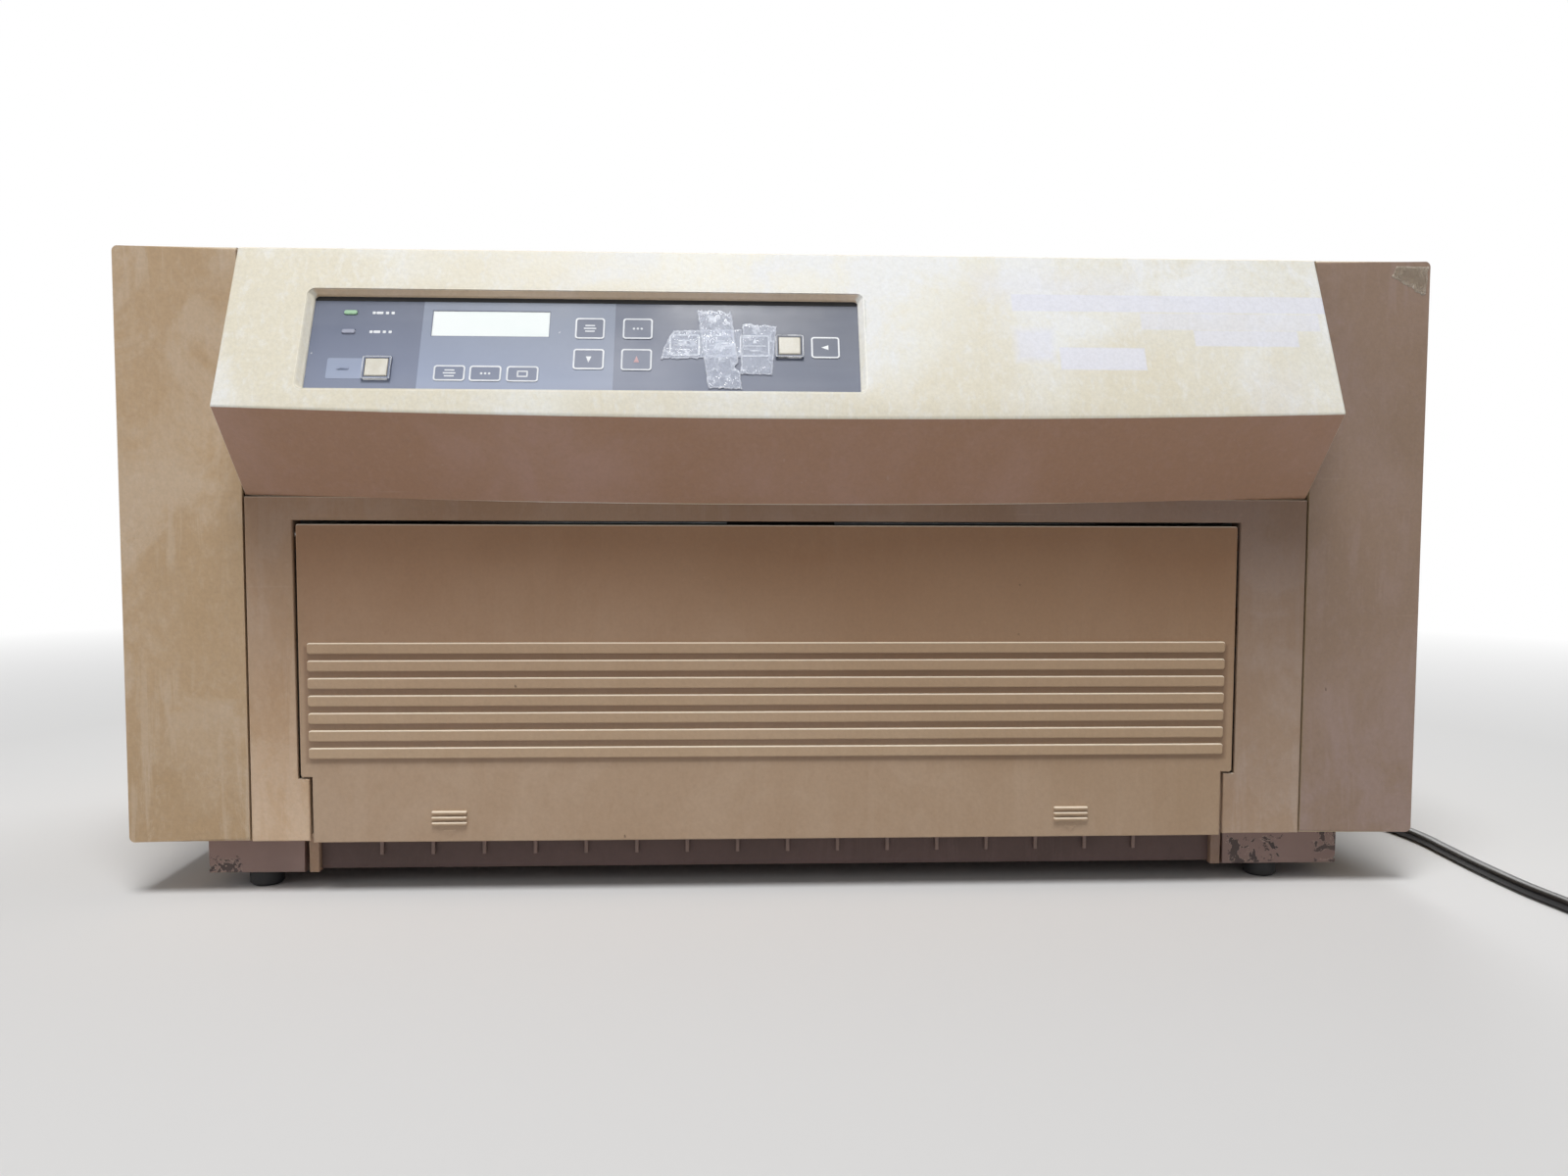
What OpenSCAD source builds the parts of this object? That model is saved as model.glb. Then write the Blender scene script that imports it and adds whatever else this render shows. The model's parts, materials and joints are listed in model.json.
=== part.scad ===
// Wide-carriage dot matrix printer: hinged hood, front door, rear cover and a working print mechanism.
// Millimetres. X runs along the carriage, -Y is the front, Z = 0 is the surface under the rubber feet.

/* [Overall size] */
// Width over both side covers
body_w = 700; // [640:1:860]
// Depth from the ridge of the hood to the rear panel
body_d = 378; // [360:1:470]
// Height over the rubber feet
body_h = 344; // [330:1:420]

/* [Covers] */
// Width of one side cover
side_w = 63.2; // [58:0.1:70]
// Height of the covers' lower edge
skirt_z = 30; // [28:1:36]
// Wall of the moulded covers
wall = 3; // [2.4:0.1:3.4]
// Gap between neighbouring covers
seam = 1; // [0.8:0.1:1.5]
// How far the hood's ridge stands in front of the front frame
beak = 38.5; // [30:0.5:42]
// Drop from the top to the ridge
ridge_drop = 85.7; // [80:0.1:90]
// Drop from the top to the lower edge of the hood
hood_drop = 128.9; // [120:0.1:130]

/* [Front door] */
// Width of the left part of the front frame, beside the door opening
frame_left_w = 25; // [22:1:32]
// Width of the right part of the front frame
frame_right_w = 37; // [22:1:44]
// Gap round the door
door_gap = 1.5; // [1:0.1:2]
// Number of long ribs on the door
rib_count = 7; // [3:1:8]
// Distance between the long ribs
rib_pitch = 9.4; // [8:0.1:10]
// Number of paper guide ribs on the apron
tick_count = 16; // [8:1:20]

/* [Operator panel] */
// Left edge of the recess, from the centre
panel_x0 = -246.5; // [-250:0.5:-240]
// Right edge of the recess, from the centre
panel_x1 = 40; // [30:0.5:60]
// Distance down the slope from the top edge to the recess
panel_s0 = 24.7; // [20:0.1:26]
// Distance down the slope to the recess's lower edge
panel_s1 = 83.5; // [82:0.1:86]
// Depth of the recess
panel_deep = 6; // [4:0.5:7]
// Travel of the push buttons
button_travel = 1.5; // [1:0.1:2]

/* [Mechanism] */
// Radius of the platen roller
platen_r = 18; // [16:0.5:20]
// Radius of the carriage shaft
rail_r = 6; // [5:0.1:7]
// Travel of the carriage to each side
carriage_travel = 185; // [120:1:185]
// Radial clearance of running fits
run_fit = 0.05; // [0.03:0.01:0.08]
// Radial clearance of fixed fits
fix_fit = 0.02; // [0.01:0.01:0.04]
// Gear module
gear_m = 1; // [0.9:0.05:1.1]
// Teeth of the platen gear
platen_teeth = 72; // [66:2:76]
// Teeth of the feed pinion
pinion_teeth = 18; // [16:1:20]

/* [Mains cord] */
// Outside diameter of the cord
cord_d = 7.3; // [6:0.1:8]

/* [Hidden] */
$fn = 48;

beige = "#c2b083";
beige_dark = "#a8926e";
cream = "#d8cba0";
panel_grey = "#4a5560";
steel = "#a9adb0";
bright_steel = "#c8ccd0";
black = "#1c1c1e";
white_plastic = "#dcdcd4";
rubber = "#26262a";
pcb_green = "#2f5d3a";
motor_grey = "#63666a";

// main planes
half_w = body_w / 2;
rear_y = body_d / 2;
front_y = -rear_y + beak;
inner_x = half_w - side_w;
hood_x = inner_x - seam;
plate_x = inner_x - 15.8;
plate_t = 2;
pan_z = 8.7;
sheet = 2;
floor_z = pan_z + sheet;
pan_x = half_w - 35;
pan_y = front_y + 14.5;
corner_r = 3;

// hood outline in the side view
ridge = [front_y - beak, body_h - ridge_drop];
hood_low = [front_y + 1.9, body_h - hood_drop];
hood_rear = front_y + 218.5;
lip = 20;
slant_a = atan2(ridge_drop, beak);
hood_pin = [hood_rear - 4, body_h - 12];
pin_r = 3;

// front frame and door
frame_top = hood_low[1] - 0.5;
open_top = hood_low[1] - 13;
open_x0 = -inner_x + frame_left_w + 0.8;
open_x1 = inner_x - frame_right_w - 0.8;
notch_z = skirt_z + 33.5;
notch = 6;
door_top = open_top - 2;
door_low = skirt_z - 1;
door_pin = [front_y + 5, door_top - 5.5];
door_pin_r = 2.5;
door_ear = 8;
rib_h = 5.9;
rib_deep = 1.6;
rib_r = 1.4;
rib_top = skirt_z + 107;
grip_x = [-180.9, 157.6];
grip_w = 19;
post_y = pan_y + 5.5;
post_face = pan_y - 1.5;
post_l = span(open_x0 + notch, [-5.4, -0.1]);
post_r = span(open_x1 - notch, [-0.9, 4.5]);

// rear cover
cover_y = hood_rear + 12;
cover_low = body_h - 103;
cover_pin = [rear_y - 8.5, cover_low + 5];

// mechanism
platen = [front_y + 190, body_h - 112];
platen_len = plate_x - 56;
shaft_r = 6;
shaft_z = platen[1] - 27;
shaft_y = platen[0] - 60;
rail_y = platen[0] - 112;
small_rail_r = 4;
plate_out = plate_x + plate_t;
gear_x = plate_out + 6;
gear_w = 8;
pulley_x = gear_x + gear_w + 2;
pulley_w = 10;
gear_reach = gear_m * (platen_teeth + pinion_teeth) / 2;
mesh_a = -60;
motor = [platen[0] + gear_reach * cos(mesh_a), platen[1] + gear_reach * sin(mesh_a)];
feed_r = 14;
tractor = [front_y + 52.5, skirt_z + 110];
guide = [tractor[0], skirt_z + 54];
tractor_r = 5;
tractor_x = [-190, 170];
bail_pin = [platen[0] + 50.5, platen[1] + 30];
bail_bar = [platen[0] - 4.5, platen[1] + platen_r + 6];
bail_r = 3;
lever_pin = [platen[0] - 34.5, platen[1] + 30];
beam_z = platen[1] - 82;
beam_y = [platen[0] - 39.5, platen[0] + 40.5];
belt_y = platen[0] - 86;
belt_z = platen[1] - 48;
belt_r = 12;
belt_h = 6;
belt_t = 1.2;
belt_end = plate_x - 23;
cartridge_y = [platen[0] - 171, platen[0] - 131];
cartridge_z = platen[1] - 6;
knob_at = [-200, cartridge_y[0] + 20];

// electrics
psu_x = [plate_x - 176, plate_x - 71];
inlet_x = plate_x - 39;
inlet_z = 63;
pocket_deep = 37;
pocket_y = rear_y - pocket_deep;
switch_z = 103;
fan_at = [plate_x - 111, 135];
fan_y = rear_y - wall - 25;

// cord: points from the foot of the rear right corner, the first one at the connector
cord_route = [
    [-118, 12, 63], [-118, 21, 62], [-118, 31, 57.5], [-117.5, 39.5, 49], [-116.5, 44, 36], [-114, 45, 23.5],
    [-107, 44.5, 12.5], [-96, 44, 6], [-83, 43, 4], [-60, 40, 4], [-32, 32, 4], [-6, 19, 4], [14, 1, 4], [27, -23, 4],
    [35, -53, 4], [39, -90, 4], [41, -130, 4], [43, -170, 4], [46, -205, 4], [52, -235, 4], [55, -260, 4],
    [54, -290, 4], [53, -315, 4], [53, -340, 4], [55, -365, 4], [58, -388, 4], [62, -408, 4], [66, -422, 4]
];
coil_at = [106, -424];
coil_r = 39;
coil_band = 22;
coil_top = 15;
cord_tail = [
    [79, -451, 14], [93, -458, 17.5], [109, -458, 19.5], [122, -452, 22], [131, -442, 25], [135, -432, 27.3],
    [136, -424, 28]
];
ring_step = 18;
cord_sides = 10;

// ---------- helpers ----------

// numbers of r, all moved by c
function span(c, r) = [for (v = r) c + v];

module block(x, y, z) {
    translate([x[0], y[0], z[0]]) cube([x[1] - x[0], y[1] - y[0], z[1] - z[0]]);
}

// side-view shape (first number Y, second Z) between two X values
module yz(x0, x1) {
    translate([x0, 0, 0]) rotate([90, 0, 90]) linear_extrude(x1 - x0) children();
}

// front-view shape (first number X, second Z) between two Y values
module xz(y0, y1) {
    translate([0, y1, 0]) rotate([90, 0, 0]) linear_extrude(y1 - y0) children();
}

module rod_x(x, at, r) {
    translate([x[0], at[0], at[1]]) rotate([0, 90, 0]) cylinder(h = x[1] - x[0], r = r);
}

module rod_y(y, at, r) {
    translate([at[0], y[1], at[1]]) rotate([90, 0, 0]) cylinder(h = y[1] - y[0], r = r);
}

module rod_z(z, at, r) {
    translate([at[0], at[1], z[0]]) cylinder(h = z[1] - z[0], r = r);
}

// rectangle with round corners, exact arcs
module round_rect(x, y, r) {
    translate([x[0] + r, y[0]]) square([x[1] - x[0] - 2 * r, y[1] - y[0]]);
    translate([x[0], y[0] + r]) square([x[1] - x[0], y[1] - y[0] - 2 * r]);
    for (cx = [x[0] + r, x[1] - r], cy = [y[0] + r, y[1] - r]) translate([cx, cy]) circle(r);
}

// slot with round ends between two points
module pill(a, b, r) {
    d = b - a;
    translate(a) circle(r);
    translate(b) circle(r);
    translate(a) rotate(atan2(d[1], d[0])) translate([0, -r]) square([norm(d), 2 * r]);
}

// closed belt round two equal pulleys
module belt_loop(a, b, r, t) {
    difference() {
        pill(a, b, r + t);
        pill(a, b, r);
    }
}

// flat strip of thickness t between two points
module strip(a, b, t) {
    d = b - a;
    translate(a) rotate(atan2(d[1], d[0])) translate([0, -t / 2]) square([norm(d), t]);
}

// gear outline with straight flanks; teeth are thinned so that a pair runs free
function gear_points(n, m) =
    let (pitch = 360 / n, r = m * n / 2, half = 0.22 * pitch, up = 0.8 * m, down = 1.15 * m)
    let (tip = half - up * tan(20) / r * 57.3, root = half + down * tan(20) / r * 57.3)
    [for (i = [0:n - 1], k = [[-root, r - down], [-tip, r + up], [tip, r + up], [root, r - down]])
        [k[1] * cos(i * pitch + k[0]), k[1] * sin(i * pitch + k[0])]];

// outline moved inward by t on every edge; points run anticlockwise
function inset(pts, t) =
    let (n = len(pts))
    [for (i = [0:n - 1])
        let (p = pts[i], a = p - pts[(i + n - 1) % n], b = pts[(i + 1) % n] - p)
        let (u = a / norm(a), v = b / norm(b), nu = [-u[1], u[0]], nv = [-v[1], v[0]])
        p + (nu + nv) * t / (1 + nu * nv)];

// frame of the slanted face: x along the hood, -y down the slope, z out of the face
module on_slant() {
    translate([0, front_y, body_h]) rotate([slant_a, 0, 0]) children();
}

module slant_block(x, s, w) {
    on_slant() block(x, [-s[1], -s[0]], w);
}

module slant_rect(x, s, r, w) {
    on_slant() translate([0, 0, w[0]]) linear_extrude(w[1] - w[0]) round_rect(x, [-s[1], -s[0]], r);
}

// ---------- base ----------

foot_at = [[-288, pan_y + 11], [276, pan_y + 11], [-288, rear_y - 30], [276, rear_y - 30]];
foot_shift = half_w - 350;
pan_round = 6;
board_x = [-250, 20];
board_y = [rear_y - 249, rear_y - 31];
board_z = 40;

module base_pan() {
    corner_l = post_l[0] - 2.9;
    corner_r_x = post_r[1] + 1.8;
    color(beige_dark) {
        difference() {
            block([-pan_x, pan_x], [pan_y, rear_y - 7], [pan_z, floor_z]);
            block([corner_l, corner_r_x], [pan_y - 1, pan_y + 10], [pan_z - 1, floor_z + 1]);
        }
        for (x = [[-pan_x, corner_l], [corner_r_x, pan_x]])
            xz(pan_y, pan_y + sheet) difference() {
                round_rect(x, [pan_z, skirt_z + 4], 1.5);
                translate([x[0] < 0 ? -pan_x : pan_x - pan_round, pan_z]) difference() {
                    square(pan_round);
                    translate([x[0] < 0 ? pan_round : 0, pan_round]) circle(pan_round);
                }
            }
        for (x = [corner_l - sheet, corner_r_x])
            block([x, x + sheet], [pan_y + sheet, pan_y + 12], [pan_z, skirt_z + 4]);
        for (s = [-1, 1]) {
            flange = s < 0 ? [-pan_x - 14, -pan_x + sheet] : [pan_x - sheet, pan_x + 14];
            side = s < 0 ? [-pan_x, -pan_x + sheet] : [pan_x - sheet, pan_x];
            block(side, [pan_y + sheet, rear_y - 7], [floor_z, skirt_z + wall]);
            difference() {
                block(flange, [pan_y + sheet, rear_y - 7], [skirt_z + wall, skirt_z + wall + sheet]);
                for (y = screw_y) rod_z([skirt_z, skirt_z + 8], [s * screw_x, y], 2.2);
            }
        }
        block([-pan_x, pan_x], [rear_y - 9, rear_y - 7], [floor_z, skirt_z + wall]);
        for (x = board_x + [8, -8], y = board_y + [8, -8]) rod_z([floor_z, board_z], [x, y], 3.5);
    }
}

module rubber_feet() {
    color(rubber) for (p = foot_at) translate([p[0] + sign(p[0]) * foot_shift, p[1], 0]) {
        cylinder(h = 1.5, r1 = 7.5, r2 = 9);
        translate([0, 0, 1.5]) cylinder(h = pan_z - 1.5, r = 9);
    }
}

screw_x = pan_x + 7;
screw_y = [front_y + 40, rear_y - 40];

module cover_screws() {
    color(steel) for (x = [-screw_x, screw_x], y = screw_y) {
        rod_z([skirt_z - 2.2, skirt_z], [x, y], 4);
        rod_z([skirt_z, skirt_z + 8], [x, y], 2);
    }
}

// ---------- outer covers ----------

module side_cover() {
    shell_y = [front_y, rear_y];
    difference() {
        xz(shell_y[0], shell_y[1]) {
            round_rect([inner_x + 10, half_w], [skirt_z, body_h], corner_r);
            translate([inner_x, skirt_z]) square([30, body_h - skirt_z]);
        }
        block([inner_x - 1, half_w - wall], [front_y + wall, rear_y - wall], [skirt_z + wall, body_h - wall]);
        block([inner_x - 1, pan_x], [pan_y, rear_y - 7], [skirt_z - 1, skirt_z + wall + 1]);
        for (y = screw_y) rod_z([skirt_z - 1, skirt_z + wall + 1], [screw_x, y], 2.2);
    }
    block([inner_x, inner_x + wall], [front_y + wall, rear_y - wall], [body_h - 69, body_h - wall]);
}

module side_cover_left() {
    color(beige) mirror([1, 0, 0]) side_cover();
}

module side_cover_right() {
    color(beige) side_cover();
}

module front_frame() {
    x = hood_x;
    back = front_y + wall;
    cheeks = [[open_x0 - 6, open_x0], [open_x1, open_x1 + 6]];
    color(beige) difference() {
        union() {
            difference() {
                block([-x, x], [front_y, back], [skirt_z, frame_top]);
                block([open_x0, open_x1], [front_y - 1, back + 1], [notch_z, open_top]);
                block([open_x0 + notch, open_x1 - notch], [front_y - 1, back + 1], [skirt_z - 1, notch_z + 1]);
            }
            front_frame_back(x, back);
            for (c = cheeks) block(c, [back, front_y + 12.5], [door_pin[1] - 8, open_top + 4]);
        }
        for (c = cheeks) rod_x([c[0] - 1, c[1] + 1], door_pin, door_pin_r + fix_fit);
    }
}

// returns, posts and foot behind the face of the front frame
module front_frame_back(x, back) {
    block([-x, x], [back, pan_y], [frame_top - wall, frame_top]);
    for (c = [[-x, -x + wall], [x - wall, x]]) block(c, [back, pan_y], [skirt_z, frame_top - wall]);
    block([-x + wall, open_x0 - 6], [back, pan_y], [skirt_z, skirt_z + wall]);
    block([open_x1 + 6, x - wall], [back, pan_y], [skirt_z, skirt_z + wall]);
    for (x = [post_l, post_r]) {
        block(x, [post_face, post_y], [pan_z + 0.5, notch_z]);
        block(x, [back, post_face], [skirt_z + wall, notch_z]);
    }
}

door_x0 = open_x0 + door_gap;
door_x1 = open_x1 - door_gap;

module long_rib(x, z, h, y) {
    xz(y - rib_deep, y) round_rect(x, [z - h / 2, z + h / 2], min(rib_r, h / 2 - 0.1));
}

module front_door() {
    color(beige) {
        difference() {
            union() {
                xz(front_y, front_y + wall) {
                    round_rect([door_x0, door_x1], [notch_z + 1, door_top], 1.5);
                    translate([door_x0 + notch, door_low]) square([door_x1 - door_x0 - 2 * notch, 60]);
                }
                block([door_x0 + 10, door_x1 - 10], [front_y + wall, front_y + 8], [door_low + 2, door_low + 5]);
                for (x = span(door_x0, [0.12, 0.49, 0.87] * (door_x1 - door_x0)))
                    block([x, x + 2], [front_y + wall, front_y + 7], [door_low + 5, door_top - 14]);
                rod_x([door_x0, door_x0 + door_ear], door_pin, 4.4);
                rod_x([door_x1 - door_ear, door_x1], door_pin, 4.4);
            }
            rod_x([door_x0 - 1, door_x0 + door_ear + 1], door_pin, door_pin_r + run_fit);
            rod_x([door_x1 - door_ear - 1, door_x1 + 1], door_pin, door_pin_r + run_fit);
        }
        for (i = [0:rib_count - 1])
            long_rib([door_x0 + 5, door_x1 - 5.9], rib_top - rib_h / 2 - i * rib_pitch, rib_h, front_y);
        for (g = grip_x, i = [0:2])
            long_rib([g - grip_w / 2, g + grip_w / 2], skirt_z + 9 + i * 3, 1.8, front_y);
    }
}

// steel pins of the door, the hood and the rear cover, each held in the fixed part
module hinge_pins() {
    color(bright_steel) {
        rod_x([open_x0 - 6, door_x0 + door_ear - 1], door_pin, door_pin_r);
        rod_x([door_x1 - door_ear + 1, open_x1 + 6], door_pin, door_pin_r);
        for (s = [-1, 1]) {
            rod_x(s < 0 ? [-plate_out - 8, -plate_x + 3] : [plate_x - 3, plate_out + 8], hood_pin, pin_r);
            rod_x(s < 0 ? [-plate_out, -plate_x + 7.5] : [plate_x - 7.5, plate_out], cover_pin, door_pin_r);
        }
    }
}

module front_apron() {
    y = post_y - wall;
    x = [post_l[1], post_r[0]];
    ticks = [x[0] + 32.4, x[1] - 44.8];
    pitch = (ticks[1] - ticks[0]) / (tick_count - 1);
    color(beige_dark) {
        block(x, [y, post_y], [skirt_z - 20, skirt_z + 10]);
        for (i = [0:tick_count - 1])
            block([ticks[0] + i * pitch, ticks[0] + 2 + i * pitch], [y - 2, y], [skirt_z - 12, skirt_z + 10]);
    }
}

hood_outline = [
    [hood_rear, body_h], [front_y, body_h], ridge, hood_low,
    [front_y + 10, hood_low[1]], [front_y + 10, body_h - 44], [front_y + 34, body_h - lip], [hood_rear, body_h - lip]
];

module hood_shell_cut() {
    inner = inset([[hood_rear + 9, body_h], [front_y, body_h], ridge, hood_low,
        [front_y + 11, hood_low[1] + 0.01], [front_y + 11, body_h - 43], [front_y + 40, body_h - 30],
        [hood_rear + 9, body_h - 30]], wall);
    yz(-hood_x + wall, hood_x - wall) polygon(concat([for (i = [0:3]) inner[i]],
        [[front_y + 30, inner[3][1]], [front_y + 30, body_h - 60], [hood_rear + 9, body_h - 60]]));
}

module top_cover() {
    ear_x = plate_out + 2.5;
    window = [[-190, 190], [front_y + 45, front_y + 165]];
    pocket = [[panel_x0, panel_x1], [panel_s0, panel_s1]];
    color(cream) difference() {
        union() {
            difference() {
                yz(-hood_x, hood_x) polygon(hood_outline);
                hood_shell_cut();
                block(window[0], window[1], [body_h - 9, body_h + 1]);
            }
            slant_block([pocket[0][0] - 2, pocket[0][1] + 2], [pocket[1][0] - 2, pocket[1][1] + 2],
                [-panel_deep - 2, -1]);
            for (s = [-1, 1]) {
                x = s < 0 ? [-ear_x - 5, -ear_x] : [ear_x, ear_x + 5];
                rod_x(x, hood_pin, 5.5);
                block(x, [hood_pin[0] - 4, hood_pin[0] + 4], [hood_pin[1], body_h - 2]);
            }
            for (p = board_fix) slant_peg(p, -panel_deep - 9, -panel_deep - 1, 3);
        }
        slant_rect(pocket[0], pocket[1], 4, [-panel_deep, 5]);
        slant_block([lcd_x[0] - 1, lcd_x[1] + 1], [lcd_s[0] - 1, lcd_s[1] + 1], [-panel_deep - 4, -panel_deep + 1]);
        for (b = button_at) slant_block(span(b[0], [-6.6, 6.6]), span(b[1], [-6, 6]), [-panel_deep - 4, -panel_deep + 1]);
        for (s = led_s) slant_block([led_x - 4, led_x + 4], [s - 1.9, s + 1.9], [-panel_deep - 4, -panel_deep + 1]);
        for (s = [-1, 1]) {
            x = s < 0 ? [-ear_x - 6, -ear_x + 1] : [ear_x - 1, ear_x + 6];
            rod_x(x, hood_pin, pin_r + run_fit);
        }
    }
}

module hood_window() {
    color([0.25, 0.25, 0.28, 0.7])
        block([-198, 198], [front_y + 37, front_y + 173], [body_h - wall - 2.5, body_h - wall]);
}

// ---------- operator panel ----------

lcd_x = [-183, -123.2];
lcd_s = [34.4, 49.4];
button_at = [[-208.4, 69.1], [0.9, 54.4]];
led_x = -225;
led_s = [36, 47.4];
key_at = [[-172, 71.4, 15.8, 9], [-153.9, 71.5, 16, 9], [-135.2, 71.6, 16.1, 9], [-102.2, 44.3, 15.1, 12.4],
    [-102.2, 62.6, 15.7, 12], [-77.6, 44.2, 15.3, 12.2], [-77.8, 62.7, 15.7, 12.6], [-53.3, 53.7, 15.6, 12.7],
    [-35.1, 53.9, 15, 13], [-17.1, 53.9, 15.4, 12.8], [19.5, 54.5, 14.7, 12.6]];
board_fix = [[-238, 32], [-238, 76], [32, 32], [32, 76]];
board_w = -panel_deep - 9;

module slant_peg(p, w0, w1, r) {
    on_slant() translate([p[0], -p[1], w0]) cylinder(h = w1 - w0, r = r);
}

module panel_overlay() {
    w = [-panel_deep, -panel_deep + 0.8];
    color(panel_grey) difference() {
        union() {
            slant_rect([panel_x0 + 0.6, panel_x1 - 0.6], [panel_s0 + 0.6, panel_s1 - 0.6], 3.4, w);
            for (b = button_at) slant_block(span(b[0], [-7.2, 7.2]), span(b[1], [-6.6, 6.6]), [w[0], w[1] + 1.6]);
            for (k = key_at) slant_rect(span(k[0], [-k[2], k[2]] / 2), span(k[1], [-k[3], k[3]] / 2), 1.5, [w[0], w[1] + 0.3]);
        }
        slant_block(lcd_x, lcd_s, [w[0] - 1, w[1] + 1]);
        for (b = button_at) slant_block(span(b[0], [-6, 6]), span(b[1], [-5.4, 5.4]), [w[0] - 1, w[1] + 3]);
        for (s = led_s) slant_block([led_x - 3.4, led_x + 3.4], [s - 1.3, s + 1.3], [w[0] - 1, w[1] + 1]);
    }
}

module lcd_window() {
    color("#dfe9df") {
        slant_block(lcd_x + [0.05, -0.05], lcd_s + [0.05, -0.05], [-panel_deep, -panel_deep + 0.6]);
        slant_block(lcd_x + [-0.9, 0.9], lcd_s + [-0.9, 0.9], [board_w, -panel_deep]);
    }
}

module led(s, hue) {
    color(hue) {
        slant_block([led_x - 3.3, led_x + 3.3], [s - 1.2, s + 1.2], [board_w, -panel_deep + 1.1]);
    }
}

module power_led() {
    led(led_s[0], "#5fae6c");
}

module alarm_led() {
    led(led_s[1], "#b9bab2");
}

// cap with a stem that ends just above the board's switch
module push_button(b) {
    color(cream) {
        slant_block(span(b[0], [-5.7, 5.7]), span(b[1], [-5.1, 5.1]), [-panel_deep - 1, -panel_deep + 2.9]);
        slant_block(span(b[0], [-3, 3]), span(b[1], [-3, 3]), [board_w + button_travel + 0.4, -panel_deep - 1]);
    }
}

module button_left() {
    push_button(button_at[0]);
}

module button_right() {
    push_button(button_at[1]);
}

module panel_board() {
    color(pcb_green) {
        slant_block([-243, 36], [27, 81], [board_w - 1.6, board_w]);
        slant_block([-160, -140], [54, 64], [board_w - 4.6, board_w - 1.6]);
        slant_block([-110, -80], [40, 50], [board_w - 4.6, board_w - 1.6]);
        slant_block([-30, -12], [40, 58], [board_w - 5.6, board_w - 1.6]);
    }
}

// ---------- rear ----------

module rear_panel() {
    x = hood_x;
    y = rear_y - wall;
    pocket = [span(inlet_x, [-26, 26]), span(inlet_z, [-21, 21])];
    color(beige) difference() {
        union() {
            block([-x, x], [y, rear_y], [skirt_z, cover_low - 4]);
            block([-x, x], [rear_y - 7, y], [skirt_z, skirt_z + wall]);
            block(pocket[0] + [-2, 2], [pocket_y - 2, y], pocket[1] + [-2, 2]);
        }
        block(pocket[0], [pocket_y, rear_y + 1], pocket[1]);
        block(span(inlet_x, [-13.7, 13.7]), [pocket_y - 3, pocket_y + 1], span(inlet_z, [-10, 10]));
        block(span(inlet_x, [-12.2, 12.2]), [y - 1, rear_y + 1], span(switch_z, [-11.2, 11.2]));
        for (i = [-6:6]) block(span(fan_at[0] + i * 5.4, [-1.4, 1.4]), [y - 1, rear_y + 1],
            span(fan_at[1], [-1, 1] * sqrt(36 * 36 - pow(i * 5.4, 2))));
        block([-155.5, -84.5], [y - 1, rear_y + 1], [41, 57.5]);
        for (i = [0:11]) block([-40 + i * 8, -37 + i * 8], [y - 1, rear_y + 1], [90, 150]);
    }
}

module rear_cover() {
    x = hood_x;
    outline = [[rear_y, cover_low], [rear_y, body_h], [cover_y, body_h], [cover_y, body_h - lip],
        [rear_y - 12, body_h - lip], [rear_y - 12, cover_low]];
    color(beige) difference() {
        union() {
            difference() {
                yz(-x, x) polygon(outline);
                yz(-x + wall, x - wall) polygon([[rear_y - wall, cover_low - 1], [rear_y - wall, body_h - wall],
                    [cover_y - 1, body_h - wall], [cover_y - 1, body_h - lip - 1],
                    [rear_y - 13, body_h - lip - 1], [rear_y - 13, cover_low - 1]]);
                for (s = [-1, 1]) {
                    n = s < 0 ? [-plate_out - 4, -plate_x + 9] : [plate_x - 9, plate_out + 4];
                    block(n, [rear_y - 20, rear_y + 1], [cover_low - 1, cover_pin[1] + 7]);
                }
            }
            for (s = [-1, 1]) {
                e = s < 0 ? [-plate_x + 1.5, -plate_x + 6.5] : [plate_x - 6.5, plate_x - 1.5];
                rod_x(e, cover_pin, 5);
                block(e, [cover_pin[0], rear_y - 1], [cover_pin[1], cover_pin[1] + 5]);
                block(e, [cover_pin[0], rear_y - 1], [cover_pin[1] + 5, cover_pin[1] + 14]);
            }
        }
        for (s = [-1, 1]) {
            e = s < 0 ? [-plate_x + 1, -plate_x + 7] : [plate_x - 7, plate_x - 1];
            rod_x(e, cover_pin, door_pin_r + run_fit);
        }
    }
}

// ---------- frame ----------

module plate_outline() {
    polygon([
        [pan_y + 14, floor_z], [rear_y - 13, floor_z], [rear_y - 13, cover_pin[1]], [bail_pin[0] + 12, body_h - 44],
        [hood_pin[0] + 7, hood_pin[1] - 6], [hood_pin[0] - 10, hood_pin[1] - 6], [lever_pin[0] + 10, body_h - 56],
        [shaft_y - 40, body_h - 82], [pan_y + 14, hood_low[1]]
    ]);
    translate(hood_pin) circle(6);
    translate(hood_pin + [-6, -12]) square([12, 12]);
    translate(cover_pin) circle(5);
    translate([rear_y - 20, cover_pin[1] - 5]) square([cover_pin[0] - rear_y + 20, 10]);
}

module frame_plate() {
    yz(plate_x, plate_out) difference() {
        plate_outline();
        translate(platen) circle(10 + fix_fit);
        translate(tractor) circle(9 + fix_fit);
        translate(guide) circle(tractor_r + fix_fit);
        translate([shaft_y, shaft_z]) circle(rail_r + fix_fit);
        translate([rail_y, shaft_z]) circle(small_rail_r + fix_fit);
        translate(hood_pin) circle(pin_r + fix_fit);
        translate(cover_pin) circle(door_pin_r + fix_fit);
        translate(bail_pin) circle(bail_r + run_fit);
        translate(lever_pin) circle(bail_r + run_fit);
        translate(motor) circle(8);
    }
    block([plate_out, plate_out + 12], [pan_y + 14, rear_y - 13], [floor_z, floor_z + plate_t]);
}

module frame_plate_left() {
    color(steel) mirror([1, 0, 0]) frame_plate();
}

module frame_plate_right() {
    color(steel) frame_plate();
}

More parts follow.
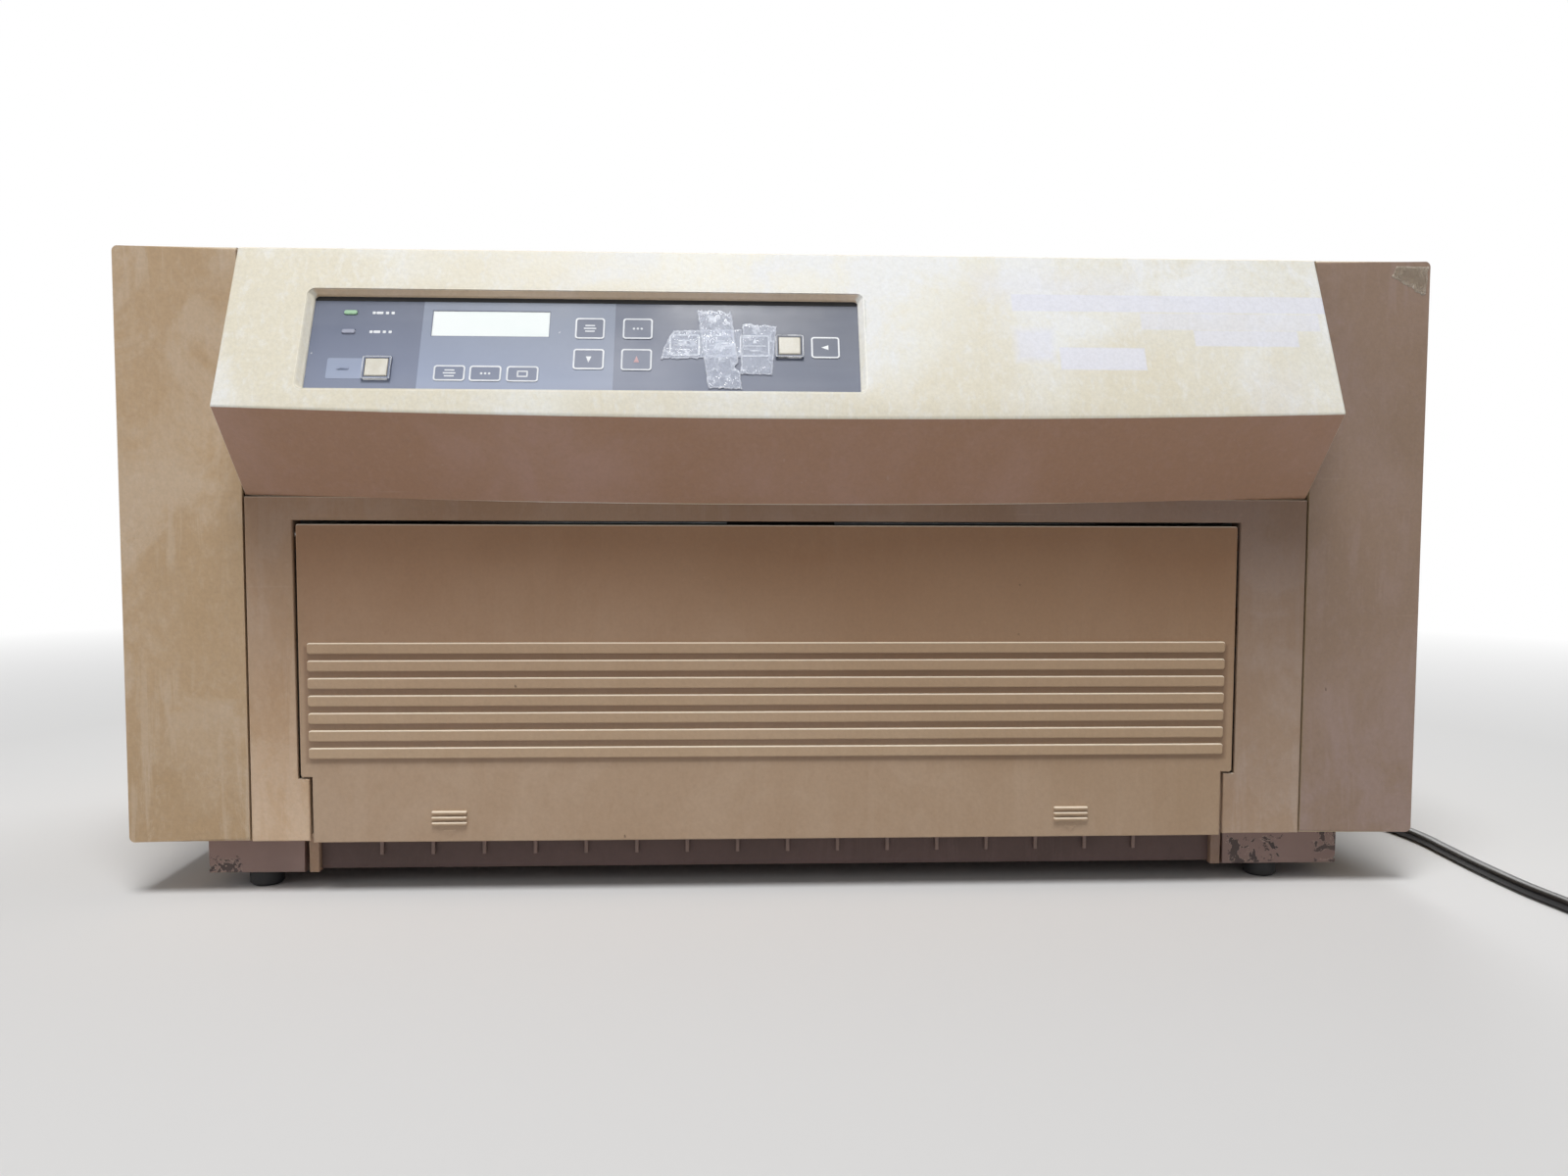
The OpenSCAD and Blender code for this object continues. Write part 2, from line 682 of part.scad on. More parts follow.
module cross_beam() {
    color(steel) {
        block([-plate_x, plate_x], beam_y, [beam_z, beam_z + 3]);
        for (y = [beam_y[0], beam_y[1] - plate_t])
            block([-plate_x, plate_x], [y, y + plate_t], [beam_z - 16, beam_z]);
    }
}

module guide_ribs(pts) {
    for (x = [-150, 0, 150]) yz(x - 1.5, x + 1.5) polygon(pts);
}

trough_r = platen_r + 2.5;
trough_in = platen + (trough_r + 0.75) * [cos(215), sin(215)];

module paper_guide() {
    x = platen_len - 2;
    low = [front_y + 66.5, platen[1] - 74];
    mid = [platen[0] - 59.5, platen[1] - 56];
    color(steel) {
        yz(-x, x) {
            strip(low, mid, 1.5);
            strip(mid, trough_in, 1.5);
            translate(mid) circle(0.75);
            translate(trough_in) circle(0.75);
            difference() {
                translate(platen) circle(trough_r + 1.5);
                translate(platen) circle(trough_r);
                translate(platen + [-40, -12.2]) square([80, 60]);
            }
        }
        top = beam_z + 3;
        guide_ribs([[beam_y[0], top], [beam_y[0] + 26, top], platen + [-6, -trough_r - 0.8],
            platen + [-17, -trough_r + 6], mid + [0.3, -0.5]]);
    }
}

module rear_guide() {
    a = platen + [27, 18];
    b = platen + [45, 86];
    color(steel) {
        yz(-platen_len - 40, platen_len + 40) strip(a, b, 1.5);
        guide_ribs([[platen[0] + 25.5, beam_z + 3], [platen[0] + 38, beam_z + 3], b + [2, -20], b + [-6, -22],
            a + [-0.5, 0]]);
    }
}

// ---------- platen and paper feed ----------

module platen_roller() {
    color(rubber) difference() {
        rod_x([-platen_len, platen_len], platen, platen_r);
        rod_x([-platen_len - 1, platen_len + 1], platen, shaft_r + fix_fit);
    }
}

module platen_shaft() {
    color(bright_steel) rod_x([-plate_out - 8, pulley_x + pulley_w + 2], platen, shaft_r);
}

// one flanged bush in its frame plate; s is the side
module bush(s, at, bore, r) {
    difference() {
        union() {
            rod_x(s < 0 ? [-plate_out - 2, -plate_x] : [plate_x, plate_out + 2], at, r);
            rod_x(s < 0 ? [-plate_x, -plate_x + 2] : [plate_x - 2, plate_x], at, r + 3);
        }
        rod_x(s < 0 ? [-plate_out - 3, -plate_x + 3] : [plate_x - 3, plate_out + 3], at, bore + run_fit);
    }
}

module shaft_bushes() {
    color("#b08d57") for (s = [-1, 1]) {
        bush(s, platen, shaft_r, 10);
        bush(s, tractor, tractor_r, 9);
    }
}

module pulley_body(x, at) {
    rod_x(x, at, feed_r);
    rod_x([x[0], x[0] + 1.5], at, feed_r + 3);
    rod_x([x[1] - 1.5, x[1]], at, feed_r + 3);
}

module platen_gear() {
    web_r = platen_teeth * gear_m / 2 - 11.5;
    color(white_plastic) difference() {
        union() {
            yz(gear_x, gear_x + gear_w) translate(platen) rotate(mesh_a) polygon(gear_points(platen_teeth, gear_m));
            pulley_body([gear_x + gear_w, pulley_x + pulley_w], platen);
        }
        rod_x([gear_x - 1, pulley_x + pulley_w + 1], platen, shaft_r + fix_fit);
        for (a = [0:60:300])
            rod_x([gear_x - 1, gear_x + gear_w + 1], platen + web_r * [cos(a), sin(a)], 5.5);
    }
}

module feed_pinion() {
    bore_r = 2.5;
    color(bright_steel) {
        yz(gear_x, gear_x + gear_w) translate(motor)
            rotate(mesh_a + 180 + 180 / pinion_teeth) polygon(gear_points(pinion_teeth, gear_m));
        rod_x([plate_x - 14, gear_x], motor, bore_r);
    }
}

module feed_motor() {
    color(motor_grey) difference() {
        union() {
            yz(plate_x - 42, plate_x) translate(motor) round_rect([-20, 20], [-20, 20], 5);
            rod_x([plate_x, plate_x + 1.5], motor, 7.9);
        }
        rod_x([plate_x - 15, plate_x + 2], motor, 2.5 + run_fit);
    }
}

module feed_belt() {
    color(black) yz(pulley_x + 0.5, pulley_x + pulley_w - 3) belt_loop(platen, tractor, feed_r + 0.2, 1.3);
}

module tractor_shaft() {
    color(bright_steel) {
        rod_x([-plate_out - 6, pulley_x + pulley_w + 2], tractor, tractor_r);
        pulley_body([pulley_x - 1.5, pulley_x + pulley_w], tractor);
    }
}

// tractor unit in local x: hubs 0 to 14, side plate 14 to 20, lid hinge beyond
lid_axis = [24.5, front_y + 35];
lid_z = [skirt_z + 42, skirt_z + 122];

module tractor_unit() {
    hub = 8.5;
    color(black) difference() {
        union() {
            yz(14, 20) pill(guide, tractor, 14);
            rod_x([0, 14], tractor, hub);
            rod_x([0, 14], guide, hub);
            for (z = [[lid_z[0] + 20, lid_z[0] + 27.5], [lid_z[0] + 52.5, lid_z[0] + 60]]) {
                rod_z(z, lid_axis, 3);
                block([18, 26], [lid_axis[1] + 2, lid_axis[1] + 10], z);
            }
            rod_z([lid_z[0] + 20, lid_z[0] + 60], lid_axis, 1.5);
        }
        rod_x([-1, 21], tractor, tractor_r + run_fit);
        rod_x([-1, 21], guide, tractor_r + run_fit);
    }
    color(white_plastic) {
        yz(3, 11) belt_loop(guide, tractor, hub, 1.6);
        for (i = [0:4]) rod_y([guide[0] - 12.6, guide[0] - 9.5], [7, guide[1] + 2.6 + i * 12.7], 1.8);
    }
}

module tractor_lid() {
    y = lid_axis[1];
    color(black) difference() {
        union() {
            block([-1, 20.5], [y - 1.5, y + 1], lid_z);
            block([20, 24.5], [y - 1.5, y + 1], [lid_z[0] + 28, lid_z[0] + 52]);
            rod_z([lid_z[0] + 28, lid_z[0] + 52], lid_axis, 3);
        }
        block([4.5, 9.5], [y - 2, y + 2], [lid_z[0] + 8, lid_z[1] - 8]);
        rod_z([lid_z[0] + 27, lid_z[0] + 53], lid_axis, 1.5 + run_fit);
    }
}

module tractor_left() {
    translate([tractor_x[0], 0, 0]) mirror([1, 0, 0]) tractor_unit();
}

module tractor_right() {
    translate([tractor_x[1], 0, 0]) tractor_unit();
}

module tractor_lid_left() {
    translate([tractor_x[0], 0, 0]) mirror([1, 0, 0]) tractor_lid();
}

module tractor_lid_right() {
    translate([tractor_x[1], 0, 0]) tractor_lid();
}

// ---------- carriage ----------

// fixed rods between the frame plates: two for the carriage, one for the tractors
module guide_rods() {
    color(bright_steel) {
        rod_x([-plate_out, plate_out], guide, tractor_r);
        rod_x([-plate_out, plate_out], [shaft_y, shaft_z], rail_r);
        rod_x([-plate_out, plate_out], [rail_y, shaft_z], small_rail_r);
    }
}

module carriage() {
    x = 32;
    run_y = belt_y + belt_r;
    color(black) difference() {
        union() {
            block([-x, x], [rail_y - 10, shaft_y + 14], [shaft_z - 8, shaft_z + 11]);
            rod_x([-x, x], [shaft_y, shaft_z], rail_r + 4.8);
            block([-9, 9], [run_y - 3, run_y + 5], [belt_z - 1, shaft_z - 8]);
        }
        rod_x([-x - 1, x + 1], [shaft_y, shaft_z], rail_r + run_fit);
        rod_x([-x - 1, x + 1], [rail_y, shaft_z], small_rail_r + run_fit);
        block([-10, 10], [run_y - 0.6, run_y + belt_t + 0.8], [belt_z - 2, belt_z + belt_h + 0.8]);
        block([-22, 22], [rail_y + 14, shaft_y - 16], [shaft_z - 9, shaft_z + 2]);
    }
}

module print_head() {
    z = shaft_z + 11;
    nose_y = platen[0] - platen_r - 2.8;
    color(motor_grey) {
        block([-20, 20], [rail_y + 24, shaft_y + 18], [z, z + 26]);
        for (i = [0:5]) block([-20, 20], [rail_y + 26 + i * 7, rail_y + 29 + i * 7], [z + 26, z + 36]);
        yz(-8, 8) polygon([[shaft_y + 18, z + 4], [shaft_y + 18, z + 24], [nose_y, platen[1] + 7],
            [nose_y, platen[1] - 7]]);
    }
}

module carriage_belt() {
    color(black) translate([0, 0, belt_z]) linear_extrude(belt_h)
        belt_loop([-belt_end, belt_y], [belt_end, belt_y], belt_r + 0.2, belt_t);
}

module belt_pulley(x) {
    z = [belt_z - 1.5, belt_z + belt_h + 1.5];
    rod_z(z, [x, belt_y], belt_r);
    rod_z([z[0], z[0] + 1.2], [x, belt_y], belt_r + 2);
    rod_z([z[1] - 1.2, z[1]], [x, belt_y], belt_r + 2);
}

bracket_z = belt_z - 4;

module drive_pulley() {
    color(bright_steel) {
        belt_pulley(-belt_end);
        rod_z([bracket_z - 8, belt_z], [-belt_end, belt_y], 3);
    }
}

module idler_pulley() {
    color(white_plastic) difference() {
        belt_pulley(belt_end);
        rod_z([belt_z - 2, belt_z + belt_h + 2], [belt_end, belt_y], 3 + run_fit);
    }
}

module belt_brackets() {
    y = span(belt_y, [-24, 24]);
    color(steel) {
        difference() {
            union() {
                block([-plate_x, -belt_end + 22], y, [bracket_z, bracket_z + plate_t]);
                block([-plate_x, -plate_x + plate_t], y, [bracket_z - 26, bracket_z]);
            }
            rod_z([bracket_z - 1, bracket_z + 3], [-belt_end, belt_y], 8);
        }
        block([belt_end - 22, plate_x], y, [bracket_z, bracket_z + plate_t]);
        block([plate_x - plate_t, plate_x], y, [bracket_z - 26, bracket_z]);
        rod_z([bracket_z + plate_t, belt_z + belt_h + 3], [belt_end, belt_y], 3);
        for (s = [-1, 1]) {
            x = s < 0 ? [-plate_x, -230] : [230, plate_x];
            tab = s < 0 ? [-plate_x, -plate_x + plate_t] : [plate_x - plate_t, plate_x];
            block(x, cartridge_y + [6, -4], [cartridge_z - 4, cartridge_z]);
            block(tab, cartridge_y + [6, -4], [cartridge_z, cartridge_z + 12]);
        }
    }
}

module space_motor() {
    color(motor_grey) difference() {
        union() {
            rod_z([bracket_z - 50, bracket_z], [-belt_end, belt_y], 20);
            rod_z([bracket_z, bracket_z + 1.5], [-belt_end, belt_y], 7.9);
        }
        rod_z([bracket_z - 9, bracket_z + 2], [-belt_end, belt_y], 3 + run_fit);
    }
}

module ribbon_cartridge() {
    z = cartridge_z;
    tip = platen[0] - platen_r - 1;
    color(black) {
        difference() {
            block([-236, 236], cartridge_y, [z, z + 20]);
            rod_z([z + 8, z + 21], knob_at, 4 + run_fit);
        }
        for (s = [-1, 1]) {
            x = s < 0 ? [-236, -223] : [223, 236];
            block(x, [cartridge_y[1], tip], [z, z + 18]);
        }
        block([-223, 223], [tip - 1.2, tip - 0.8], [z, z + 13]);
    }
}

module ribbon_knob() {
    z = cartridge_z + 20;
    color("#3f6fb0") {
        rod_z([z - 11, z + 0.5], knob_at, 4);
        rod_z([z + 0.5, z + 9], knob_at, 11);
        translate([knob_at[0], knob_at[1], z + 9]) block([-10, 10], [-1.5, 1.5], [0, 4]);
    }
}

module paper_bail() {
    arm = [plate_x - 5, plate_x - 1];
    color(bright_steel) for (s = [-1, 1]) {
        x = s < 0 ? [-arm[1], -arm[0]] : arm;
        yz(x[0], x[1]) {
            pill(bail_bar, bail_pin, 4);
            translate(bail_pin) circle(6);
        }
        rod_x(s < 0 ? [-plate_out - 3, -arm[1]] : [arm[1], plate_out + 3], bail_pin, bail_r);
    }
    color(bright_steel) rod_x([-arm[0], arm[0]], bail_bar, bail_r - 0.2);
    color(rubber) for (x = [-150, -50, 50, 150]) difference() {
        rod_x([x - 9, x + 9], bail_bar, 5.6);
        rod_x([x - 10, x + 10], bail_bar, bail_r - 0.2);
    }
}

module gap_lever() {
    x = [plate_x - 10, plate_x - 6];
    tip = lever_pin + [-16, 44];
    color("#3f6fb0") {
        yz(x[0], x[1]) {
            pill(lever_pin, tip, 3.5);
            translate(lever_pin) circle(6);
        }
        rod_x([x[1], plate_out + 3], lever_pin, bail_r);
        block(x + [-4, 1], span(tip[0], [-5, 5]), span(tip[1], [-4, 12]));
    }
}

// ---------- electrics ----------

module fan_housing() {
    x = fan_at[0];
    z = fan_at[1];
    color(black) difference() {
        block(span(x, [-40, 40]), [fan_y, fan_y + 25], span(z, [-40, 40]));
        difference() {
            rod_y([fan_y - 1, fan_y + 26], fan_at, 38);
            rod_y([fan_y, fan_y + 6], fan_at, 15);
            block(span(x, [-40, 40]), [fan_y, fan_y + 3], span(z, [-2, 2]));
            block(span(x, [-2, 2]), [fan_y, fan_y + 3], span(z, [-40, 40]));
        }
        rod_y([fan_y - 1, fan_y + 26], fan_at, 2 + run_fit);
        for (i = [-1, 1], j = [-1, 1]) rod_y([fan_y - 1, fan_y + 26], fan_at + [i, j] * 35.7, 2.2);
    }
}

module fan_rotor() {
    color(black) {
        rod_y([fan_y + 7, fan_y + 22], fan_at, 15);
        rod_y([fan_y + 1, fan_y + 7], fan_at, 2);
        translate([fan_at[0], fan_y + 14.5, fan_at[1]]) for (a = [0:360 / 7:359]) rotate([0, a, 0])
            translate([0, 0, 14]) rotate([0, 0, 32]) block([-9, 9], [-0.9, 0.9], [0, 22]);
    }
}

module power_supply() {
    x = psu_x;
    y = [rear_y - 139, rear_y - 17];
    color(steel) difference() {
        block(x, y, [floor_z, 88]);
        for (i = [0:9]) block([x[0] + 10, x[1] - 10], span(y[0] + 12 + i * 10, [-1.5, 1.5]), [86, 89]);
    }
    core = x - [62, 0];
    color(motor_grey) block([core[0], core[0] + 44], y + [34, -20], [floor_z, 66]);
    color("#8a5a33") block([core[0] - 8, core[0] + 52], y + [46, -32], [22, 54]);
}

module logic_board() {
    x = board_x[0];
    y = board_y[0];
    top = board_z + 1.6;
    color(pcb_green) block(board_x, board_y, [board_z, top]);
    color(black) {
        for (i = [0:3]) block([x + 20 + i * 48, x + 54 + i * 48], [y + 30, y + 44], [top, top + 4.4]);
        for (i = [0:2]) block([x + 25 + i * 60, x + 65 + i * 60], [y + 80, y + 120], [top, top + 3.4]);
        for (i = [0:2]) rod_z([top, top + 24.4], [x + 220 + i * 18, y + 170], 7);
    }
    color(steel) block([-155, -85], [rear_y - 39, rear_y - 1], [top, top + 15.4]);
}

module mains_inlet() {
    y = pocket_y;
    color(black) difference() {
        union() {
            block(span(inlet_x, [-22, 22]), [y, y + 2.5], span(inlet_z, [-14, 14]));
            block(span(inlet_x, [-13.5, 13.5]), [y - 20, y], span(inlet_z, [-9.8, 9.8]));
        }
        block(span(inlet_x, [-12.3, 12.3]), [y - 16, y + 3], span(inlet_z, [-8.3, 8.3]));
    }
    color(bright_steel) for (p = inlet_pins)
        block(span(inlet_x + p[0], [-1, 1]), [y - 16, y - 2], span(inlet_z + p[1], [-2, 2]));
}

inlet_pins = [[-7, -2], [7, -2], [0, 2.5]];
switch_axis = [rear_y - 8, switch_z];

module power_switch() {
    y = switch_axis[0];
    color(black) translate([inlet_x, y, switch_z]) rotate([-9, 0, 0]) difference() {
        union() {
            block([-6.9, 6.9], [-3, 5.6], [-9.4, 9.4]);
            rod_x([-6.9, 6.9], [0, 0], 3.6);
        }
        rod_x([-8, 8], [0, 0], 1.5 + run_fit);
    }
}

module switch_frame() {
    y = rear_y - wall;
    color(black) difference() {
        block(span(inlet_x, [-12, 12]), [y - 20, rear_y - 0.4], span(switch_z, [-11, 11]));
        block(span(inlet_x, [-7.4, 7.4]), [y - 16, rear_y], span(switch_z, [-10.2, 10.2]));
    }
    color(bright_steel) rod_x(span(inlet_x, [-8, 8]), switch_axis, 1.5);
}

// ---------- mains cord ----------

corner = [half_w, rear_y, 0];

module cord_connector() {
    y = pocket_y;
    color(black) difference() {
        union() {
            block(span(inlet_x, [-12, 12]), [y - 14, y + 3], span(inlet_z, [-8, 8]));
            block(span(inlet_x, [-14, 14]), [y + 2.5, y + 30], span(inlet_z, [-10, 10]));
            rod_y([y + 30, rear_y + cord_route[0][1] + 1], [inlet_x, inlet_z], 6);
        }
        for (p = inlet_pins)
            block(span(inlet_x + p[0], [-1.4, 1.4]), [y - 15, y + 1], span(inlet_z + p[1], [-2.4, 2.4]));
    }
}

// points along a route: each leg is cut into steps of about ring_step, eased by the neighbouring legs
function eased(p, i, t) =
    let (a = p[max(i - 1, 0)], b = p[i], c = p[i + 1], d = p[min(i + 2, len(p) - 1)])
    0.5 * (2 * b + (c - a) * t + (2 * a - 5 * b + 4 * c - d) * t * t + (3 * b - a - 3 * c + d) * t * t * t);

function route(p, step) = concat(
    [for (i = [0:len(p) - 2])
        let (n = max(1, round(norm(p[i + 1] - p[i]) / step)))
        for (k = [0:n - 1]) eased(p, i, k / n)],
    [p[len(p) - 1]]);

// the ring at point i stands square to the route, with one side kept level
function ring(p, i, r, n) =
    let (d = p[min(i + 1, len(p) - 1)] - p[max(i - 1, 0)], t = d / norm(d))
    let (side = cross(t, abs(t[2]) > 0.9 ? [1, 0, 0] : [0, 0, 1]), u = side / norm(side), v = cross(u, t))
    [for (k = [0:n - 1]) p[i] + r * (cos(k * 360 / n) * u + sin(k * 360 / n) * v)];

module sweep(p, r, n) {
    m = len(p);
    polyhedron(
        points = [for (i = [0:m - 1], q = ring(p, i, r, n)) q],
        faces = concat(
            [[for (k = [0:n - 1]) n - 1 - k]],
            [for (i = [0:m - 2], k = [0:n - 1])
                [i * n + k, i * n + (k + 1) % n, (i + 1) * n + (k + 1) % n, (i + 1) * n + k]],
            [[for (k = [0:n - 1]) (m - 1) * n + k]]));
}

module mains_cord() {
    r = cord_d / 2;
    color(black) translate(corner) {
        sweep(route(cord_route, ring_step), r, cord_sides);
        sweep(route(cord_tail, ring_step), r, cord_sides);
    }
}

module cord_coil() {
    w = coil_band / 2;
    color(black) translate(corner + [coil_at[0], coil_at[1], 0]) rotate_extrude($fn = 64)
        round_rect([coil_r - w, coil_r + w], [0, coil_top], 5);
}

module mains_plug() {
    at = corner + cord_tail[len(cord_tail) - 1];
    y = at[1] - 1;
    z = at[2];
    color(black) {
        rod_y([y, y + 14], [at[0], z], 5.5);
        xz(y + 13, y + 46) round_rect(span(at[0], [-14, 14]), span(z, [-12, 12]), 4);
    }
    color(bright_steel) {
        for (x = [-6.35, 6.35]) block(span(at[0] + x, [-0.75, 0.75]), [y + 45, y + 62], span(z, [-5.5, 0.8]));
        rod_y([y + 45, y + 64], [at[0], z + 9.5 - 2], 2.4);
    }
}

base_pan();
rubber_feet();
side_cover_left();
side_cover_right();
cover_screws();
front_frame();
front_door();
hinge_pins();
front_apron();
top_cover();
hood_window();
panel_overlay();
lcd_window();
power_led();
alarm_led();
button_left();
button_right();
panel_board();
rear_panel();
rear_cover();
frame_plate_left();
frame_plate_right();
cross_beam();
paper_guide();
rear_guide();
platen_roller();
platen_shaft();
shaft_bushes();
platen_gear();
feed_pinion();
feed_motor();
feed_belt();
tractor_shaft();
tractor_left();
tractor_right();
tractor_lid_left();
tractor_lid_right();
guide_rods();
carriage();
print_head();
carriage_belt();
drive_pulley();
idler_pulley();
belt_brackets();
space_motor();
ribbon_cartridge();
ribbon_knob();
paper_bail();
gap_lever();
fan_housing();
fan_rotor();
power_supply();
logic_board();
mains_inlet();
switch_frame();
power_switch();
cord_connector();
mains_cord();
cord_coil();
mains_plug();
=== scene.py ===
import json
import math
import random

import bmesh
import bpy
from mathutils import Matrix, Vector, noise

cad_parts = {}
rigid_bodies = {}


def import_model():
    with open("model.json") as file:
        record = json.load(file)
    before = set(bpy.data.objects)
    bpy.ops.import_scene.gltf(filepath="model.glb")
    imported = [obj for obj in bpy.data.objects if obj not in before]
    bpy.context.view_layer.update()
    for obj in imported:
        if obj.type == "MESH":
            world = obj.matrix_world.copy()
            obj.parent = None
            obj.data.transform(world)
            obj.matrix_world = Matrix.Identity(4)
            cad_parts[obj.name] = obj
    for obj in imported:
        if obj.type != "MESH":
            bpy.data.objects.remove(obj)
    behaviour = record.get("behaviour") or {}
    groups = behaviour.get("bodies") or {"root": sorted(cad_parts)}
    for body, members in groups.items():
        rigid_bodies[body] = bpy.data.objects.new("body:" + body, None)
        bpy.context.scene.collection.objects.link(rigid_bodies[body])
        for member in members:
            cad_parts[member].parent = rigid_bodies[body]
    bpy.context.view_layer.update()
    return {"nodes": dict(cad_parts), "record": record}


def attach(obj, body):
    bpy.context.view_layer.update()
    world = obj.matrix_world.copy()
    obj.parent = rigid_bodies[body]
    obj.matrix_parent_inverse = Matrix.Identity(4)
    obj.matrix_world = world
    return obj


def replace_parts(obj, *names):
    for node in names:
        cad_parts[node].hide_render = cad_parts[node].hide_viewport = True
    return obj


for leftover in list(bpy.data.objects):
    bpy.data.objects.remove(leftover)
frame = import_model()
nodes = frame["nodes"]
mm = 0.001
print("frame loaded:", len(nodes), "nodes")


cameraView = {"place": (-0.02774, -0.78402, 0.20460), "lens": 27.045, "sensor": 36, "near": 0.02,
              "yaw": 2.4323, "down": 3.4529, "roll": 0.1776}


def newObject(name, data):
    made = bpy.data.objects.new(name, data)
    bpy.context.scene.collection.objects.link(made)
    return made


def makeCamera(view):
    yaw, down, roll = (math.radians(view[key]) for key in ("yaw", "down", "roll"))
    ahead = Vector((math.sin(yaw) * math.cos(down), math.cos(yaw) * math.cos(down), -math.sin(down)))
    level = Vector((math.cos(yaw), -math.sin(yaw), 0))
    high = level.cross(ahead)
    right = level * math.cos(roll) + high * math.sin(roll)
    up = high * math.cos(roll) - level * math.sin(roll)
    data = bpy.data.cameras.new("camera")
    data.lens = view["lens"]
    data.sensor_width = view["sensor"]
    data.clip_start = view["near"]
    camera = bpy.context.scene.camera = newObject("camera", data)
    turn = Matrix((right, up, -ahead)).transposed().to_4x4()
    camera.matrix_world = Matrix.Translation(view["place"]) @ turn


makeCamera(cameraView)
bpy.context.scene.view_settings.view_transform = "Standard"


def paint(red, green, blue):  # a screen colour, 0 to 255, as linear values
    def linear(value):
        value = value / 255
        return value / 12.92 if value <= 0.04045 else ((value + 0.055) / 1.055) ** 2.4

    return (linear(red), linear(green), linear(blue), 1.0)


def finishPiece(name, bm, material, body, sharp=40, weighted=True):  # sharp: least angle of hard edges
    bmesh.ops.recalc_face_normals(bm, faces=bm.faces)
    for face in bm.faces:
        face.smooth = True
    for edge in bm.edges:
        if len(edge.link_faces) == 2:
            edge.smooth = edge.calc_face_angle(0) < math.radians(sharp)
    mesh = bpy.data.meshes.new(name)
    bm.to_mesh(mesh)
    bm.free()
    mesh.materials.append(material)
    piece = newObject(name, mesh)
    if weighted:
        evenNormals = piece.modifiers.new("even normals", "WEIGHTED_NORMAL")
        evenNormals.keep_sharp = True
    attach(piece, body)
    return piece


def addBox(bm, x, y, z):
    corners = [bm.verts.new((a, b, c)) for a in x for b in y for c in z]
    for face in ((0, 1, 3, 2), (4, 6, 7, 5), (0, 4, 5, 1), (2, 3, 7, 6), (0, 2, 6, 4), (1, 5, 7, 3)):
        bm.faces.new([corners[i] for i in face])


def roundLoop(x0, x1, y0, y1, radius, steps=5):  # points of a rectangle with round corners
    loop = []
    for cx, cy, start in ((x1 - radius, y1 - radius, 0), (x0 + radius, y1 - radius, 90),
                          (x0 + radius, y0 + radius, 180), (x1 - radius, y0 + radius, 270)):
        for i in range(steps + 1):
            angle = math.radians(start + 90 * i / steps)
            loop.append((cx + radius * math.cos(angle), cy + radius * math.sin(angle)))
    return loop


def skinRows(bm, rows, ring=False):  # faces between rows of points, which end in caps or close to a ring
    for first, second in zip(rows, rows[1:] + (rows[:1] if ring else [])):
        for i in range(len(first)):
            j = (i + 1) % len(first)
            bm.faces.new((first[i], first[j], second[j], second[i]))
    if not ring:
        bm.faces.new(rows[0][::-1])
        bm.faces.new(rows[-1])


def addRows(bm, levels, mapping, ring=False):  # a solid through loops of points, each with its level
    skinRows(bm, [[bm.verts.new(mapping(px, py, level)) for px, py in loop] for loop, level in levels], ring)


def addRing(bm, outer, inner, low, high, mapping):  # flat ring between two loops with as many points
    addRows(bm, ((outer, low), (outer, high), (inner, high), (inner, low)), mapping, ring=True)


def addPlate(bm, loop, low, high, mapping):  # solid plate with the outline of the loop
    addRows(bm, ((loop, low), (loop, high)), mapping)


def nodeShape(name):  # a node's mesh as joined flat faces
    bm = bmesh.new()
    bm.from_mesh(nodes[name].data)
    bmesh.ops.remove_doubles(bm, verts=bm.verts, dist=0.02 * mm)
    bmesh.ops.dissolve_limit(bm, angle_limit=math.radians(0.6), verts=bm.verts, edges=bm.edges)
    return bm


def roundEdges(bm, size, above, angle, only=None):  # rounds the outward edges longer and sharper than given
    chosen = [edge for edge in bm.edges
              if len(edge.link_faces) == 2 and edge.calc_length() > above * mm
              and edge.calc_face_angle_signed(0) > math.radians(angle) and (only is None or only(edge))]
    bmesh.ops.bevel(bm, geom=chosen, offset=size * mm, segments=3, profile=0.5, affect="EDGES",
                    clamp_overlap=False)


work = {"tree": None}  # the node tree that the helpers below build in


def add(kind, inputs=None, **settings):
    made = work["tree"].nodes.new("ShaderNode" + kind)
    for name, value in settings.items():
        setattr(made, name, value)
    for name, value in (inputs or {}).items():
        feed(made, name, value)
    return made


def feed(node, name, value):  # a number, a vector, a screen colour of three numbers from 0 to 255, or a link
    if isinstance(value, bpy.types.NodeSocket):
        work["tree"].links.new(value, node.inputs[name])
    else:
        isColor = node.inputs[name].type == "RGBA" and len(value) == 3
        node.inputs[name].default_value = paint(*value) if isColor else value


def blendColor(factor, first, second, mode="MIX"):
    return add("Mix", {0: factor, 6: first, 7: second}, data_type="RGBA", blend_type=mode).outputs[2]


def calc(operation, first, second=0.0, clamp=False):
    return add("Math", {0: first, 1: second}, operation=operation, use_clamp=clamp).outputs[0]


def times(*values):
    total = values[0]
    for value in values[1:]:
        total = calc("MULTIPLY", total, value)
    return total


def fit(value, low, high, outLow=0.0, outHigh=1.0):
    return add("MapRange", {"Value": value, "From Min": low, "From Max": high, "To Min": outLow,
                            "To Max": outHigh}, clamp=True).outputs["Result"]


def objectPlace():
    return add("TexCoord").outputs["Object"]


def axes(kind="Object"):  # X, Y and Z of the place, or of the surface's direction with Normal
    return add("SeparateXYZ", {0: add("TexCoord").outputs[kind]}).outputs


